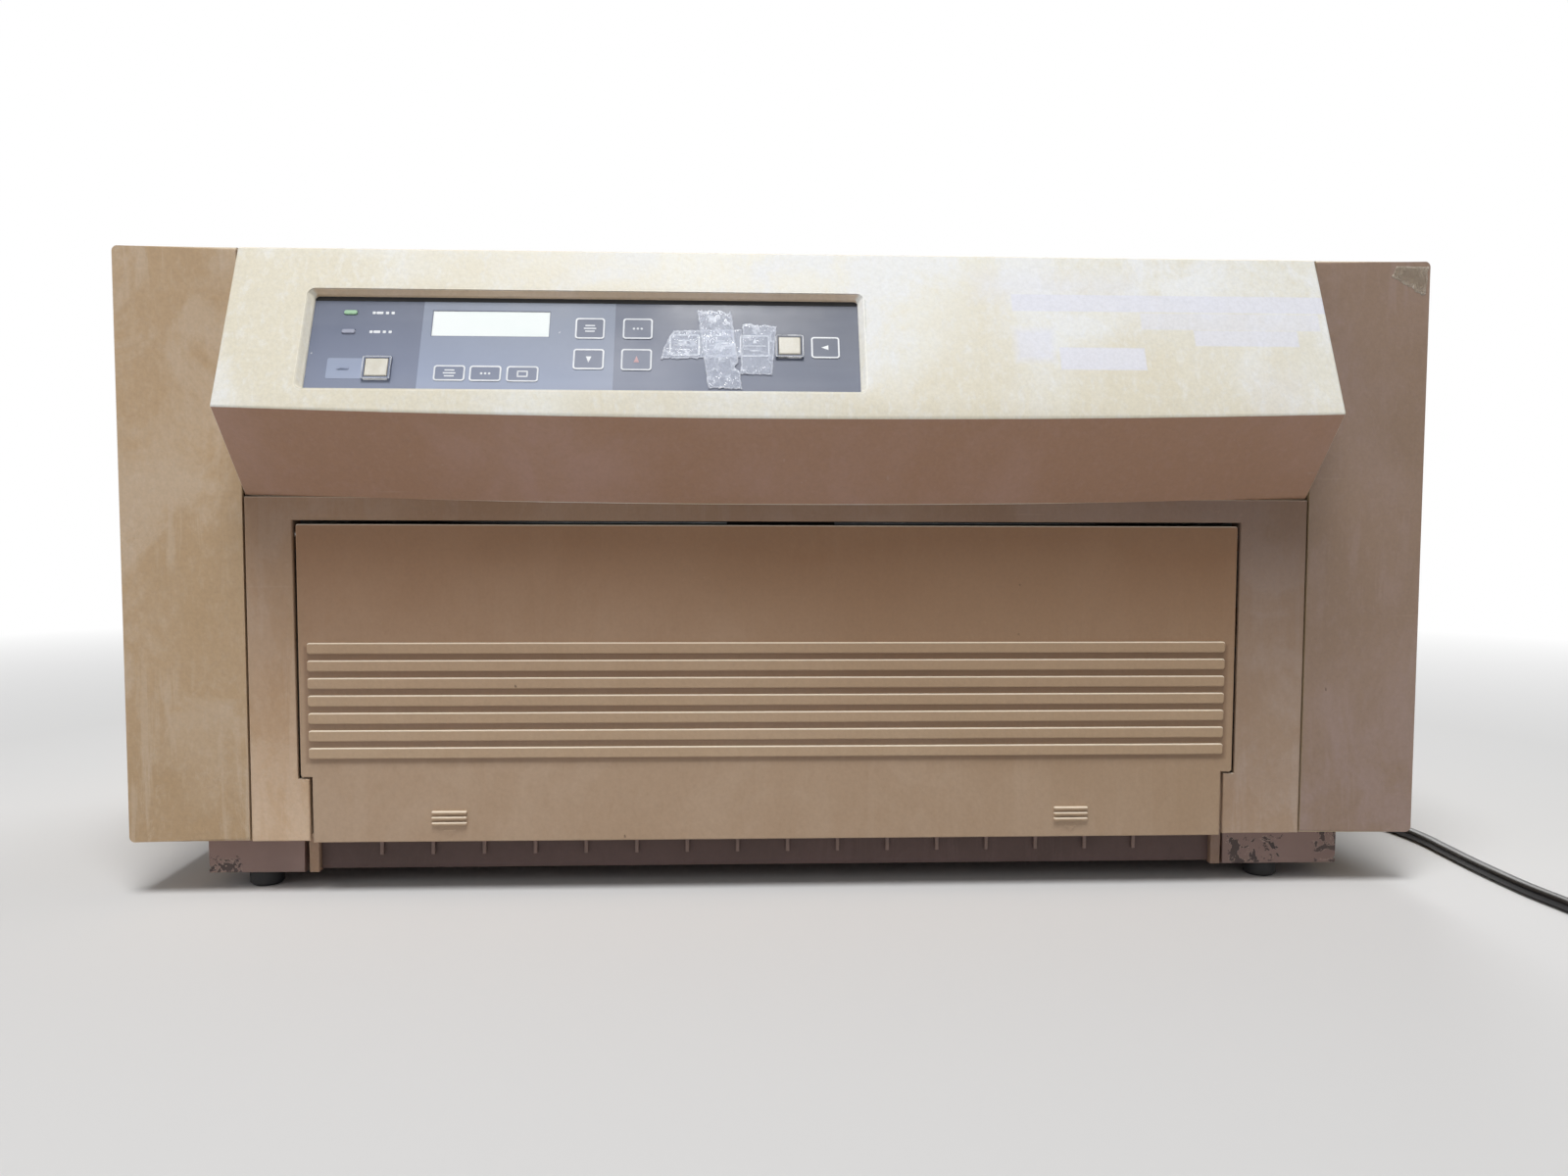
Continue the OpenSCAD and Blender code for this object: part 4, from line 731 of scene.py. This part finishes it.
# hood: the ridge and the lower edge hang a little at the middle
hood = {"front": -150.5, "top": 344.0, "ridgeDrop": 85.7, "beak": 38.5, "half": 285.8, "sag": 4.0, "lean": 3.1,
        "flat": 78.5, "leanOver": 43.2, "rear": -0.09, "edge": 1.1, "edgeRear": 0.075, "cut": 18.0}
slope = math.atan2(hood["ridgeDrop"], hood["beak"])


def sagged(point):  # a point of the hood, in metres, moved by its sag
    if point[1] > hood["rear"]:
        return Vector(point)
    middle = max(0.0, 1 - (point[0] / (hood["half"] * mm)) ** 2)
    drop = (hood["top"] * mm - point[2]) / mm
    fall = hood["sag"] * middle * min(1.0, max(0.0, (drop - hood["flat"]) / (hood["ridgeDrop"] - hood["flat"])))
    ahead = hood["lean"] * middle * min(1.0, max(0.0, (drop - hood["ridgeDrop"]) / hood["leanOver"]))
    return Vector((point[0], point[1] - ahead * mm, point[2] - fall * mm))


def onSlope(x, s, w):  # x along the hood, s down its slanted face, w out of it, in millimetres
    return sagged(Vector((x, hood["front"] - s * math.cos(slope) - w * math.sin(slope),
                          hood["top"] - s * math.sin(slope) + w * math.cos(slope))) * mm)


def onSlopeUp(x, up, w):  # the same for loops that count upwards
    return onSlope(x, -up, w)


def sagShape(bm):
    count = math.floor(hood["half"] / hood["cut"])
    cuts = [((k * hood["cut"] * mm, 0, 0), (1, 0, 0)) for k in range(-count, count + 1)]
    for place, direction in cuts + [((0, 0, (hood["top"] - hood["flat"]) * mm), (0, 0, 1))]:
        everything = bm.verts[:] + bm.edges[:] + bm.faces[:]
        bmesh.ops.bisect_plane(bm, geom=everything, plane_co=place, plane_no=direction)
    for vert in bm.verts:
        vert.co = sagged(vert.co)


# this look paints shade on the hood's lower face and a highlight along its edges that look up
creamLook = {
    "colors": ((227, 225, 215), (233, 234, 234), (218, 210, 188)), "rough": 0.48, "patch": 7.0,
    "paleAmount": 0.85, "brownAmount": 0.8, "runs": 0.12, "speck": 0.045, "bump": 0.32, "dust": 0.2,
    "under": (182, 145, 128), "ledgeHighlight": (0.5, 0.85, 0.6), "offset": (0.31, 0.2, 0.4), "residue": (224, 225, 236),
    "patches": [(118, 287, 312.8, 322.2, 0.7, 0.8), (185.5, 281, 303.0, 312.2, 0.9, 0.6),
                (212.8, 268, 294.2, 302.8, 0.8, 0.75), (140.6, 185.4, 280.7, 292.8, 0.7, 0.85),
                (118, 138, 285.5, 302.5, 5.0, 0.7), (100, 185, 320.0, 334.0, 12.0, 0.35),
                (238, 268, 255.0, 280.0, 14.0, 0.2)],
}
# the rim's look is a lit copy of the hood's cream: painted highlight
rimHighlightLook = {**creamLook, "colors": ((243, 241, 231), (247, 247, 244), (234, 228, 210)), "under": (220, 198, 180)}
# the panel's rim: how far each row lies inside the recess at the sides, foot and top, its corner and its level
recess = {"x": (-246.6, 39.9), "s": (24.0, 84.2), "rows": [
    (-0.4, -0.4, -0.4, 4.4, 0.06), (-0.4, -0.4, -0.4, 4.4, -1.0), (-0.4, -0.4, -0.4, 4.4, -5.4),
    (2.8, 1.9, 2.5, 2.0, -5.4), (2.8, 1.9, 2.5, 2.0, -3.8), (2.4, 1.6, 2.2, 2.2, -3.4),
    (0.9, 1.1, 0.9, 3.0, -1.1), (0.4, 0.55, 0.4, 3.5, -0.4), (0.0, 0.1, 0.0, 3.9, -0.08)]}


def makeHood():
    bm = nodeShape("top_cover")
    roundEdges(bm, hood["edge"], 30.0, 15, only=lambda edge: all(v.co.y < hood["edgeRear"] for v in edge.verts))
    sagShape(bm)
    creamHood = coverPlastic("creamHood", creamLook)
    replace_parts(finishPiece("hood_shell", bm, creamHood, "hood", sharp=34), "top_cover")


def makeRim(look):  # bevelled lip between the hood's face and the panel, in a paler cream than the hood's as a painted highlight
    bm = bmesh.new()
    (x0, x1), (s0, s1) = look["x"], look["s"]
    addRows(bm, [(roundLoop(x0 + side, x1 - side, -s1 + foot, -s0 - top, corner, 7), level)
                 for side, foot, top, corner, level in look["rows"]], onSlopeUp, ring=True)
    finishPiece("panel_rim", bm, coverPlastic("creamRimHighlight", rimHighlightLook), "hood", sharp=50,
                weighted=False)


makeHood()
makeRim(recess)
print("hood made")


# operator panel: keys and buttons by their middle, in millimetres along and down the slanted face
panel = {
    "overlay": -5.2, "keyTop": -4.9, "line": 0.8, "keyCorners": (1.5, 0.9),
    "keys": [(-172, 71.4, 15.8, 9, "bars"), (-153.9, 71.5, 16, 9, "dots"), (-135.2, 71.6, 16.1, 9, "square"),
             (-102.2, 44.3, 15.1, 12.4, "bars"), (-102.2, 62.6, 15.7, 12, "down"),
             (-77.6, 44.2, 15.3, 12.2, "dots"), (-77.8, 62.7, 15.7, 12.6, "up"),
             (-53.3, 53.7, 15.6, 12.7, "split"), (-35.1, 53.9, 15, 13, "splitDown"),
             (-17.1, 53.9, 15.4, 12.8, "splitUp"), (19.5, 54.5, 14.7, 12.6, "left")],
    "buttons": [(-208.4, 69.1, "button_left", "left_button"), (0.9, 54.4, "button_right", "right_button")],
    "buttonRings": ((7.2, 6.6, 1.1), (6.8, 6.2, 0.7), (5.9, 5.3, 0.4)), "ringTop": -3.6,
    "lamps": [(-225, 36, "power_led", "green_lens"), (-225, 47.4, "alarm_led", "grey_lens")],
    "lampMarks": [(-213.2, 36.0), (-213.6, 47.4)], "marks": ((0, 1.6), (2.9, 3.4), (6.7, 1.6), (9.6, 1.6)),
    "displayHole": (-183.4, -122.8, 34.0, 49.8), "paleZone": (-188.0, -89.4, 25.6, 82.6),
    "label": (-233.6, -213.9, 63.1, 75.0), "pip": (-225.6, 68.8, 3.4, 1.1),
    "gaps": [(-244.6, 37.9, 25.4, 29.0, -5.03), (-244.8, -244.3, 26.4, 82.9, -5.05),
             (37.2, 38.0, 26.4, 82.9, -5.05), (-244.6, 37.9, 25.6, 26.1, -3.7)],
}
buttonLook = {"colors": ((216, 212, 200), (226, 224, 216), (196, 190, 172)), "rough": 0.42, "patch": 90.0,
              "speck": 0.03, "bump": 0.1, "dust": 0.1}


def slopePlate(bm, x0, x1, s0, s1, radius, low, high, steps=4):
    addPlate(bm, roundLoop(x0, x1, -s1, -s0, radius, steps), low, high, onSlopeUp)


def addSymbol(bm, kind, x, s, level):
    top = level + 0.06

    def bar(cx, cs, width, height=0.75):
        slopePlate(bm, cx - width / 2, cx + width / 2, cs - height / 2, cs + height / 2, 0.15, level, top, 1)

    def arrow(cx, cs, size, turn):
        points = [(cx + size * math.cos(math.radians(turn) + k), cs + size * math.sin(math.radians(turn) + k))
                  for k in (0, 2.4, -2.4)]
        addPlate(bm, points, level, top, onSlope)

    if kind == "bars":
        for i in (-1, 0, 1):
            bar(x, s + i * 1.7, 6.4 - 1.4 * abs(i))
    elif kind == "dots":
        for i in (-2, 0, 2):
            slopePlate(bm, x + i - 0.6, x + i + 0.6, s - 0.6, s + 0.6, 0.5, level, top, 3)
    elif kind == "square":
        for cx, cs, width, height in ((0, -1.5, 5.4, 0.75), (0, 1.5, 5.4, 0.75), (-2.4, 0, 0.75, 3.2),
                                      (2.4, 0, 0.75, 3.2)):
            bar(x + cx, s + cs, width, height)
    elif kind in ("up", "down", "left"):
        arrow(x, s, 2.1, {"up": -90, "down": 90, "left": 180}[kind])
    else:  # two legends with a thin line between them
        bar(x, s, 11.5, 0.45)
        if kind == "split":
            bar(x, s - 2.7, 6.0)
            bar(x, s + 2.7, 3.6)
        else:
            side = 1 if kind == "splitDown" else -1
            arrow(x, s + 2.8 * side, 1.7, 90 * side)
            bar(x, s - 2.8 * side, 5.0)


def makePanel(look):
    low, high = look["overlay"] - 0.1, look["overlay"] + 0.05  # foot and face of what is printed on the film

    def film(name, bm, material):
        finishPiece(name, bm, material, "hood", weighted=False)

    def around(x, s, halfWidth, halfHeight, radius):
        return roundLoop(x - halfWidth, x + halfWidth, -s - halfHeight, -s + halfHeight, radius)

    def sagNode(node, name, slot, sharp=25):
        bm = nodeShape(node)
        sagShape(bm)
        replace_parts(finishPiece(name, bm, finishes[slot], "hood", sharp=sharp), node)

    sagNode("panel_overlay", "slate_overlay", "panel_film")
    sagNode("panel_board", "key_board", "board_green")
    zone = bmesh.new()  # paler printed field round the display
    x0, x1, s0, s1 = look["paleZone"]
    left, right, upper, lower = look["displayHole"]
    for sides in ((x0, x1, s0, upper), (x0, left, upper, lower), (right, x1, upper, lower),
                  (x0, x1, lower, s1)):
        slopePlate(zone, *sides, 0.05, low, high, 1)
    film("pale_field", zone, centreFilm)
    label = bmesh.new()
    slopePlate(label, *look["label"], 1.0, low, high + 0.04)
    film("button_label", label, centreFilm)
    dark = bmesh.new()  # painted shadow: black sheets in the gap above the film and along its sides
    for *sides, top in look["gaps"]:
        slopePlate(dark, *sides, 0.1, low, top, 1)
    film("film_gap", dark, shadowBlack)

    lines, marks, rose = bmesh.new(), bmesh.new(), bmesh.new()
    line, (outerCorner, innerCorner) = look["line"], look["keyCorners"]
    for x, s, width, height, kind in look["keys"]:
        addRing(lines, around(x, s, width / 2, height / 2, outerCorner),
                around(x, s, width / 2 - line, height / 2 - line, innerCorner), look["keyTop"] - 0.1,
                look["keyTop"] + 0.07, onSlopeUp)
        addSymbol(rose if kind == "up" else marks, kind, x, s, look["keyTop"])
    for x, s, name, body in look["buttons"]:
        outer, inner = (around(x, s, *ring) for ring in look["buttonRings"][:2])
        addRing(lines, outer, inner, low, look["ringTop"], onSlopeUp)
    for x, s in look["lampMarks"]:  # a short row of marks beside each lamp
        for along, width in look["marks"]:
            slopePlate(marks, x + along - width / 2, x + along + width / 2, s - 0.75, s + 0.75, 0.3, high - 0.1,
                       high + 0.02, 2)
    for name, bm, material in (("key_outlines", lines, printWhite), ("key_symbols", marks, printWhite),
                               ("shift_symbol", rose, printRed)):
        film(name, bm, material)

    buttonPlastic = coverPlastic("buttonCream", buttonLook)
    for x, s, name, body in look["buttons"]:
        cap = nodeShape(name)
        roundEdges(cap, 0.7, 4.0, 50)
        for vert in cap.verts:
            vert.co = sagged(vert.co)
        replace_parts(finishPiece("cap_" + body, cap, buttonPlastic, body), name)
        inner, edge = (around(x, s, *ring) for ring in look["buttonRings"][1:])
        well = bmesh.new()  # painted shadow: black ring in the well round the cap
        addRing(well, inner, edge, low, look["ringTop"] - 0.05, onSlopeUp)
        film("well_" + body, well, shadowBlack)

    pip = bmesh.new()  # small raised pip on the label, in five shrinking plates
    x, s, halfWidth, halfHeight = look["pip"]
    for i in range(5):
        grow, rise = math.cos(i * math.pi / 8), math.sin(i * math.pi / 8) * 0.7
        slopePlate(pip, x - halfWidth * grow, x + halfWidth * grow, s - halfHeight * grow - 0.01,
                   s + halfHeight * grow + 0.01, min(1.0, halfHeight * grow), high - 0.1, high + 0.05 + rise)
    film("label_pip", pip, centreFilm)

    for x, s, name, slot in look["lamps"]:
        lens = bmesh.new()
        for i in range(4):
            inset = 0.35 * (1 - math.cos(i * math.pi / 6))
            slopePlate(lens, x - 3.4 + inset, x + 3.4 - inset, s - 1.25 + inset, s + 1.25 - inset, 1.2 - inset,
                       -10.0 if i == 0 else look["overlay"],
                       look["overlay"] + 0.25 + 0.5 * math.sin(i * math.pi / 6), 5)
        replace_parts(finishPiece("lens_" + name, lens, finishes[slot], "hood", sharp=60), name)
    sagNode("lcd_window", "display_face", "display_glass", sharp=30)


makePanel(panel)
print("panel made")


# outer covers: the node's shape with rounded edges, each with its own ageing; their tan colours are partly
# painted shade of one plastic, darker where the faces stood in less light, and their looks paint more light and
# shade over it
covers = {
    "side_cover_left": {"piece": "left_cover", "edge": 2.2, "above": 40, "inner": 0.292, "look": {
        "colors": ((182, 155, 123), (201, 183, 163), (168, 140, 104)), "patch": 6.0, "paleAmount": 0.44,
        "runs": 0.36, "offset": (0.13, 0.0, 0.21), "speck": 0.05, "bump": 0.36, "dust": 0.4,
        "top": (206, 188, 156), "cornerSheen": 0.45}},
    "side_cover_right": {"piece": "right_cover", "edge": 2.2, "above": 40, "inner": 0.292, "look": {
        "colors": ((184, 162, 130), (199, 180, 158), (163, 140, 104)), "patch": 5.5, "brownAmount": 0.45,
        "runs": 0.35, "offset": (0.43, 0.0, 0.61), "speck": 0.045, "bump": 0.36, "dust": 0.4,
        "frontShade": (206, 198, 214), "top": (206, 188, 156), "cornerSheen": 0.45}},
    "front_frame": {"piece": "frame_front", "edge": 0.7, "above": 14, "look": {
        "colors": ((200, 171, 140), (214, 192, 170), (184, 150, 115)), "patch": 7.0, "brownAmount": 0.55,
        "offset": (0.7, 0.3, 0.1), "speck": 0.04, "bump": 0.34, "dust": 0.3,
        "across": (-0.24, 0.24, (219, 220, 229)), "shade": (0.04, 0.235, (173, 158, 152)),
        "ledgeHighlight": (0.12, 0.6, 0.5), "grooves": (-262.0, 249.0, -5.0, 29.0, -149.0, (208, 198, 198))}},
    "front_door": {"piece": "door_panel", "edge": 0.75, "above": 0.05, "face": -0.1504, "look": {
        "colors": ((175, 149, 124), (186, 163, 141), (161, 133, 104)), "rough": 0.52, "patch": 6.0,
        "paleAmount": 0.3, "brownAmount": 0.35, "runs": 0.14, "offset": (0.2, 0.9, 0.5), "speck": 0.035,
        "bump": 0.3, "dust": 0.3, "across": (-0.2, 0.25, (248, 247, 244)), "ledgeHighlight": (0.12, 0.6, 0.85),
        "shade": (0.07, 0.19, (207, 184, 164)), "lift": (-151.3, 0.4, (194, 168, 137)),
        "grooves": (-256.5, 243.6, 72.0, 135.0, -150.9, (226, 221, 218))}},
    "rear_panel": {"piece": "back_panel", "edge": 0.6, "above": 20, "look": {
        "colors": ((188, 168, 136), (204, 192, 172), (170, 148, 114)), "rough": 0.56, "patch": 6.5,
        "brownAmount": 0.5, "runs": 0.4, "offset": (0.9, 0.1, 0.7), "bump": 0.26}},
    "rear_cover": {"piece": "back_lid", "edge": 1.2, "above": 30, "look": {
        "colors": ((204, 190, 160), (214, 206, 190), (190, 172, 136)), "rough": 0.53, "patch": 6.0,
        "paleAmount": 0.6, "brownAmount": 0.5, "runs": 0.2, "offset": (0.5, 0.5, 0.2), "bump": 0.26}},
    # the apron's dark colours are partly painted shade, as it stands recessed under the door
    "front_apron": {"piece": "apron", "edge": 0.4, "above": 20, "look": {
        "colors": ((89, 69, 65), (100, 80, 76), (76, 58, 52)), "rough": 0.6, "patch": 12.0, "paleAmount": 0.4,
        "brownAmount": 0.6, "runs": 0.5, "offset": (0.1, 0.7, 0.3), "lift": (-134.5, 1.0, (134, 112, 104))}},
}


def makeCover(name, look):  # edges are rounded outside the inner width and in front of the face
    bm = nodeShape(name)
    inner, face = look.get("inner", 0.0), look.get("face", 1.0)
    roundEdges(bm, look["edge"], look["above"], 40,
               only=lambda edge: any(abs(vert.co.x) > inner for vert in edge.verts)
               and all(vert.co.y < face for vert in edge.verts))
    material = coverPlastic("aged_" + look["piece"], look["look"])
    body = next(b for b, members in frame["record"]["behaviour"]["bodies"].items() if name in members)
    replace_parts(finishPiece(look["piece"], bm, material, body, sharp=34), name)


for coverName, coverLook in covers.items():
    makeCover(coverName, coverLook)

pan = nodeShape("base_pan")
roundEdges(pan, 0.6, 12, 50)
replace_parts(finishPiece("sheet_pan", pan, finishes["pan_paint"], "chassis", sharp=34), "base_pan")
seamStrips = {"panel": (284.5, 287.5), "lid": (285.95, 287.5), "depth": (182.5, 185.8), "low": 32.0,
              "split": 226.0, "top": 341.0}


def makeSeamStrips(look):  # dark strips that close the seams beside the rear panel and the rear cover
    for name, side in (("seam_strip_left", -1), ("seam_strip_right", 1)):
        strip = bmesh.new()
        for reach, low, high in ((look["panel"], look["low"], look["split"]),
                                 (look["lid"], look["split"], look["top"])):
            addBox(strip, sorted(side * place * mm for place in reach), [place * mm for place in look["depth"]],
                   [low * mm, high * mm])
        finishPiece(name, strip, finishes["black_plastic"], "chassis")


makeSeamStrips(seamStrips)
print("covers made")


# a small raised triangle under each grip, pointing down
gripMarks = {"places": (-180.9, 157.6), "top": 35.5, "half": 3.2, "height": 3.4, "levels": (0.05, -0.35)}


def makeGripMarks(look):
    bm = bmesh.new()
    for x in look["places"]:
        corners = [(x - look["half"], look["top"]), (x + look["half"], look["top"]),
                   (x, look["top"] - look["height"])]
        addPlate(bm, corners, *look["levels"], lambda a, b, c: Vector((a, hood["front"] + c, b)) * mm)
    doorFinish = bpy.data.materials["aged_door_panel"]
    finishPiece("grip_marks", bm, doorFinish, "door", weighted=False)


makeGripMarks(gripMarks)


# clear tape left on the panel and on a cover: corners clockwise from the upper left one
tapes = {
    "cell": 0.65, "rim": 1.0, "thickness": 0.08, "ridge": 0.045, "crease": (0.7, 0.5),
    "onPanel": [
        {"name": "tape_wide", "corners": [(-63.0, 45.2), (-23.8, 44.1), (-23.9, 61.0), (-65.4, 62.1)],
         "level": -4.78, "torn": (0.5, 0.3, 0.2, 0.9), "cut": 4.0, "crumple": 9.0, "lift": 0.12, "seed": 3},
        {"name": "tape_tall", "corners": [(-47.1, 33.5), (-29.2, 33.7), (-23.6, 79.7), (-41.0, 79.1)],
         "level": -4.6, "torn": (0.25, 1.5, 0.35, 0.8), "crumple": 13.0, "lift": 0.3, "seed": 8,
         "bite": (0.72, 0.06, 2.6)},
        {"name": "tape_short", "corners": [(-23.3, 40.6), (-5.6, 42.0), (-8.2, 71.0), (-24.6, 70.8)],
         "level": -4.66, "torn": (0.4, 1.2, 0.25, 0.5), "crumple": 8.0, "lift": 0.2, "seed": 12},
    ],
    "onCover": {
        "name": "tape_scrap", "corners": [(331.3, 341.2), (349.0, 341.3), (347.6, 325.4), (328.5, 335.7)],
        "level": 0.12, "torn": (0.2, 0.1, 0.8, 0.5), "crumple": 3.0, "lift": 0.1, "seed": 21,
        "fold": ((347.4, 340.9), (340.6, 329.0))},
}


def tapeFinish(name, look):
    material, shader = newMaterial(name)
    crease = add("Attribute", attribute_name="crease").outputs["Fac"]
    haze = cloud(objectPlace(), 190.0, 7.0, 0.7, 0.8)
    white = calc("ADD", crease, fit(haze, 0.53, 0.66, 0.0, 0.4), clamp=True)
    feed(shader, "Base Color", blendColor(white, look["clear"], look["white"]))
    dull = calc("ADD", white, fit(haze, 0.35, 0.6, 0.0, 0.2))
    feed(shader, "Alpha", fit(dull, 0.0, 1.1, *look["alpha"]))
    feed(shader, "Roughness", fit(haze, 0.3, 0.7, 0.16, 0.4))
    feed(shader, "Coat Weight", 0.3)
    bump(shader, calc("ADD", haze, times(crease, 0.8)), 0.5, 0.0004)
    return material


def makeTape(look, material, body, mapping):
    rand = random.Random(look["seed"])
    bm = bmesh.new()
    layer = bm.verts.layers.float.new("crease")
    corners = [Vector(corner) for corner in look["corners"]]
    across = (corners[1] - corners[0]).length
    down = (corners[3] - corners[0]).length
    columns, rows = round(across / tapes["cell"]), round(down / tapes["cell"])
    left, top, right, foot = look["torn"]
    biteAt, biteHalf, biteDeep = look.get("bite", (0.5, 0.01, 0.0))

    def tear(amount, index, salt):
        coarse = noise.noise(Vector((index * 0.22, salt, look["seed"])))
        return amount * (1.1 * coarse + 0.45 * rand.uniform(-1, 1))

    edges = [[tear(amount, k, salt) for k in range(max(columns, rows) + 1)]
             for salt, amount in ((1.3, left), (2.7, top), (4.1, right), (5.9, foot))]
    grid = []
    for j in range(rows + 1):
        grid.append([])
        for i in range(columns + 1):
            a, b = i / columns, j / rows
            bite = biteDeep * max(0.0, 1 - abs(b - biteAt) / biteHalf)
            a0 = (edges[0][j] + look.get("cut", 0.0) * (1 - b) ** 2) / across
            a1 = 1 - (edges[2][j] + bite) / across
            b0, b1 = edges[1][i] / down, 1 - edges[3][i] / down
            u, v = a0 + (a1 - a0) * a, b0 + (b1 - b0) * b
            flat = corners[0].lerp(corners[1], u).lerp(corners[3].lerp(corners[2], u), v)
            inside = min(a * across, (1 - a) * across, b * down, (1 - b) * down)
            near = max(0.0, 1 - min(b * down, (1 - b) * down * 1.4) / look["crumple"])
            place = Vector((flat.x, flat.y, look["seed"]))
            fold = noise.noise(place * 0.24) + 0.35 * noise.noise(place * 0.7)
            ridge = max(0.0, 1 - abs(fold) / tapes["ridge"])
            rim = max(0.0, 1 - inside / tapes["rim"]) * (0.55 + 0.45 * noise.noise(place * 0.9))
            raised = look["lift"] * (0.5 + 0.5 * fold) * (0.3 + 0.7 * near) * min(1.0, inside)
            vert = bm.verts.new(mapping(flat.x, flat.y, look["level"] + raised))
            if "fold" in look:  # one straight crease
                start, end = (Vector(point) for point in look["fold"])
                offset = abs((end - start).normalized().cross(flat - start))
                ridge = max(ridge * 0.3, 1 - abs(offset - tapes["crease"][0]) / tapes["crease"][1])
            vert[layer] = min(1.0, max(rim, ridge * (0.18 + 0.82 * near)))
            grid[j].append(vert)
    for j in range(rows):
        for i in range(columns):
            bm.faces.new((grid[j][i], grid[j][i + 1], grid[j + 1][i + 1], grid[j + 1][i]))
    piece = finishPiece(look["name"], bm, material, body, sharp=80, weighted=False)
    thicken = piece.modifiers.new("thickness", "SOLIDIFY")
    thicken.thickness = tapes["thickness"] * mm


clearTape = tapeFinish("clearTape", {"clear": (214, 222, 240), "white": (242, 244, 250), "alpha": (0.17, 0.9)})
yellowTape = tapeFinish("yellowTape", {"clear": (170, 154, 134), "white": (204, 192, 176),
                                       "alpha": (0.35, 0.85)})
for strip in tapes["onPanel"]:
    makeTape(strip, clearTape, "hood", onSlope)
makeTape(tapes["onCover"], yellowTape, "chassis",
         lambda x, z, level: Vector((x, hood["front"] - level, z)) * mm)
print("tape made")


# every other node keeps its shape and gets its finish
for name, thing in nodes.items():
    for spot in thing.material_slots:
        slotName = spot.material.name.split(".")[0] if spot.material else ""
        if slotName in finishes:
            spot.material = finishes[slotName]
print("finishes given")


# floor, light and background
stage = {"floor": (222, 222, 222), "radius": 7.0, "world": 0.2, "near": 0.75, "far": 1.8, "lamps": [
    {"name": "keyLight", "place": (-0.15, -1.1, 2.7), "aim": (0, -0.1, 0.2), "size": 1.1, "power": 58},
    {"name": "leftLight", "place": (-1.9, -1.2, 0.9), "aim": (0, -0.1, 0.15), "size": 1.2, "power": 6},
    {"name": "rearLight", "place": (0.6, 1.7, 1.6), "aim": (0, 0.1, 0.15), "size": 1.4, "power": 18},
]}


def whiteSeen():  # 1 where the camera, a mirror or glass looks straight at it
    rays = add("LightPath").outputs
    return calc("MAXIMUM", rays["Is Camera Ray"],
                calc("MAXIMUM", rays["Is Glossy Ray"], rays["Is Transmission Ray"]))


def makeStage(look):
    floor = bmesh.new()
    bmesh.ops.create_circle(floor, cap_ends=True, radius=look["radius"], segments=96)
    mesh = bpy.data.meshes.new("floor")
    floor.to_mesh(mesh)
    floor.free()
    ground = newObject("floor", mesh)
    material, shader = newMaterial("paleFloor")
    for socket, value in (("Base Color", look["floor"]), ("Roughness", 0.9), ("Specular IOR Level", 0.1)):
        feed(shader, socket, value)
    distance = add("VectorMath", {0: objectPlace()}, operation="LENGTH").outputs["Value"]
    white = times(fit(distance, look["near"], look["far"]), whiteSeen())
    glow = add("Emission", {"Color": (255, 255, 255), "Strength": 1.0}).outputs[0]
    mix = add("MixShader", {0: white, 1: shader.outputs[0], 2: glow}).outputs[0]
    feed(material.node_tree.nodes["Material Output"], "Surface", mix)
    mesh.materials.append(material)

    world = bpy.data.worlds.new("studio")
    world.use_nodes = True
    bpy.context.scene.world = world
    tree = work["tree"] = world.node_tree
    light = tree.nodes["Background"]
    feed(light, "Color", (255, 255, 255))
    feed(light, "Strength", look["world"])
    seen = add("Background", {"Color": (255, 255, 255), "Strength": 1.0})
    mix = add("MixShader", {0: whiteSeen(), 1: light.outputs[0], 2: seen.outputs[0]})
    feed(tree.nodes["World Output"], "Surface", mix.outputs[0])

    for lamp in look["lamps"]:
        data = bpy.data.lights.new(lamp["name"], "AREA")
        data.shape = "DISK"
        data.size = lamp["size"]
        data.energy = lamp["power"]
        turn = (Vector(lamp["aim"]) - Vector(lamp["place"])).to_track_quat("-Z", "Y")
        thing = newObject(lamp["name"], data)
        thing.matrix_world = Matrix.Translation(lamp["place"]) @ turn.to_matrix().to_4x4()


makeStage(stage)
print("stage made")
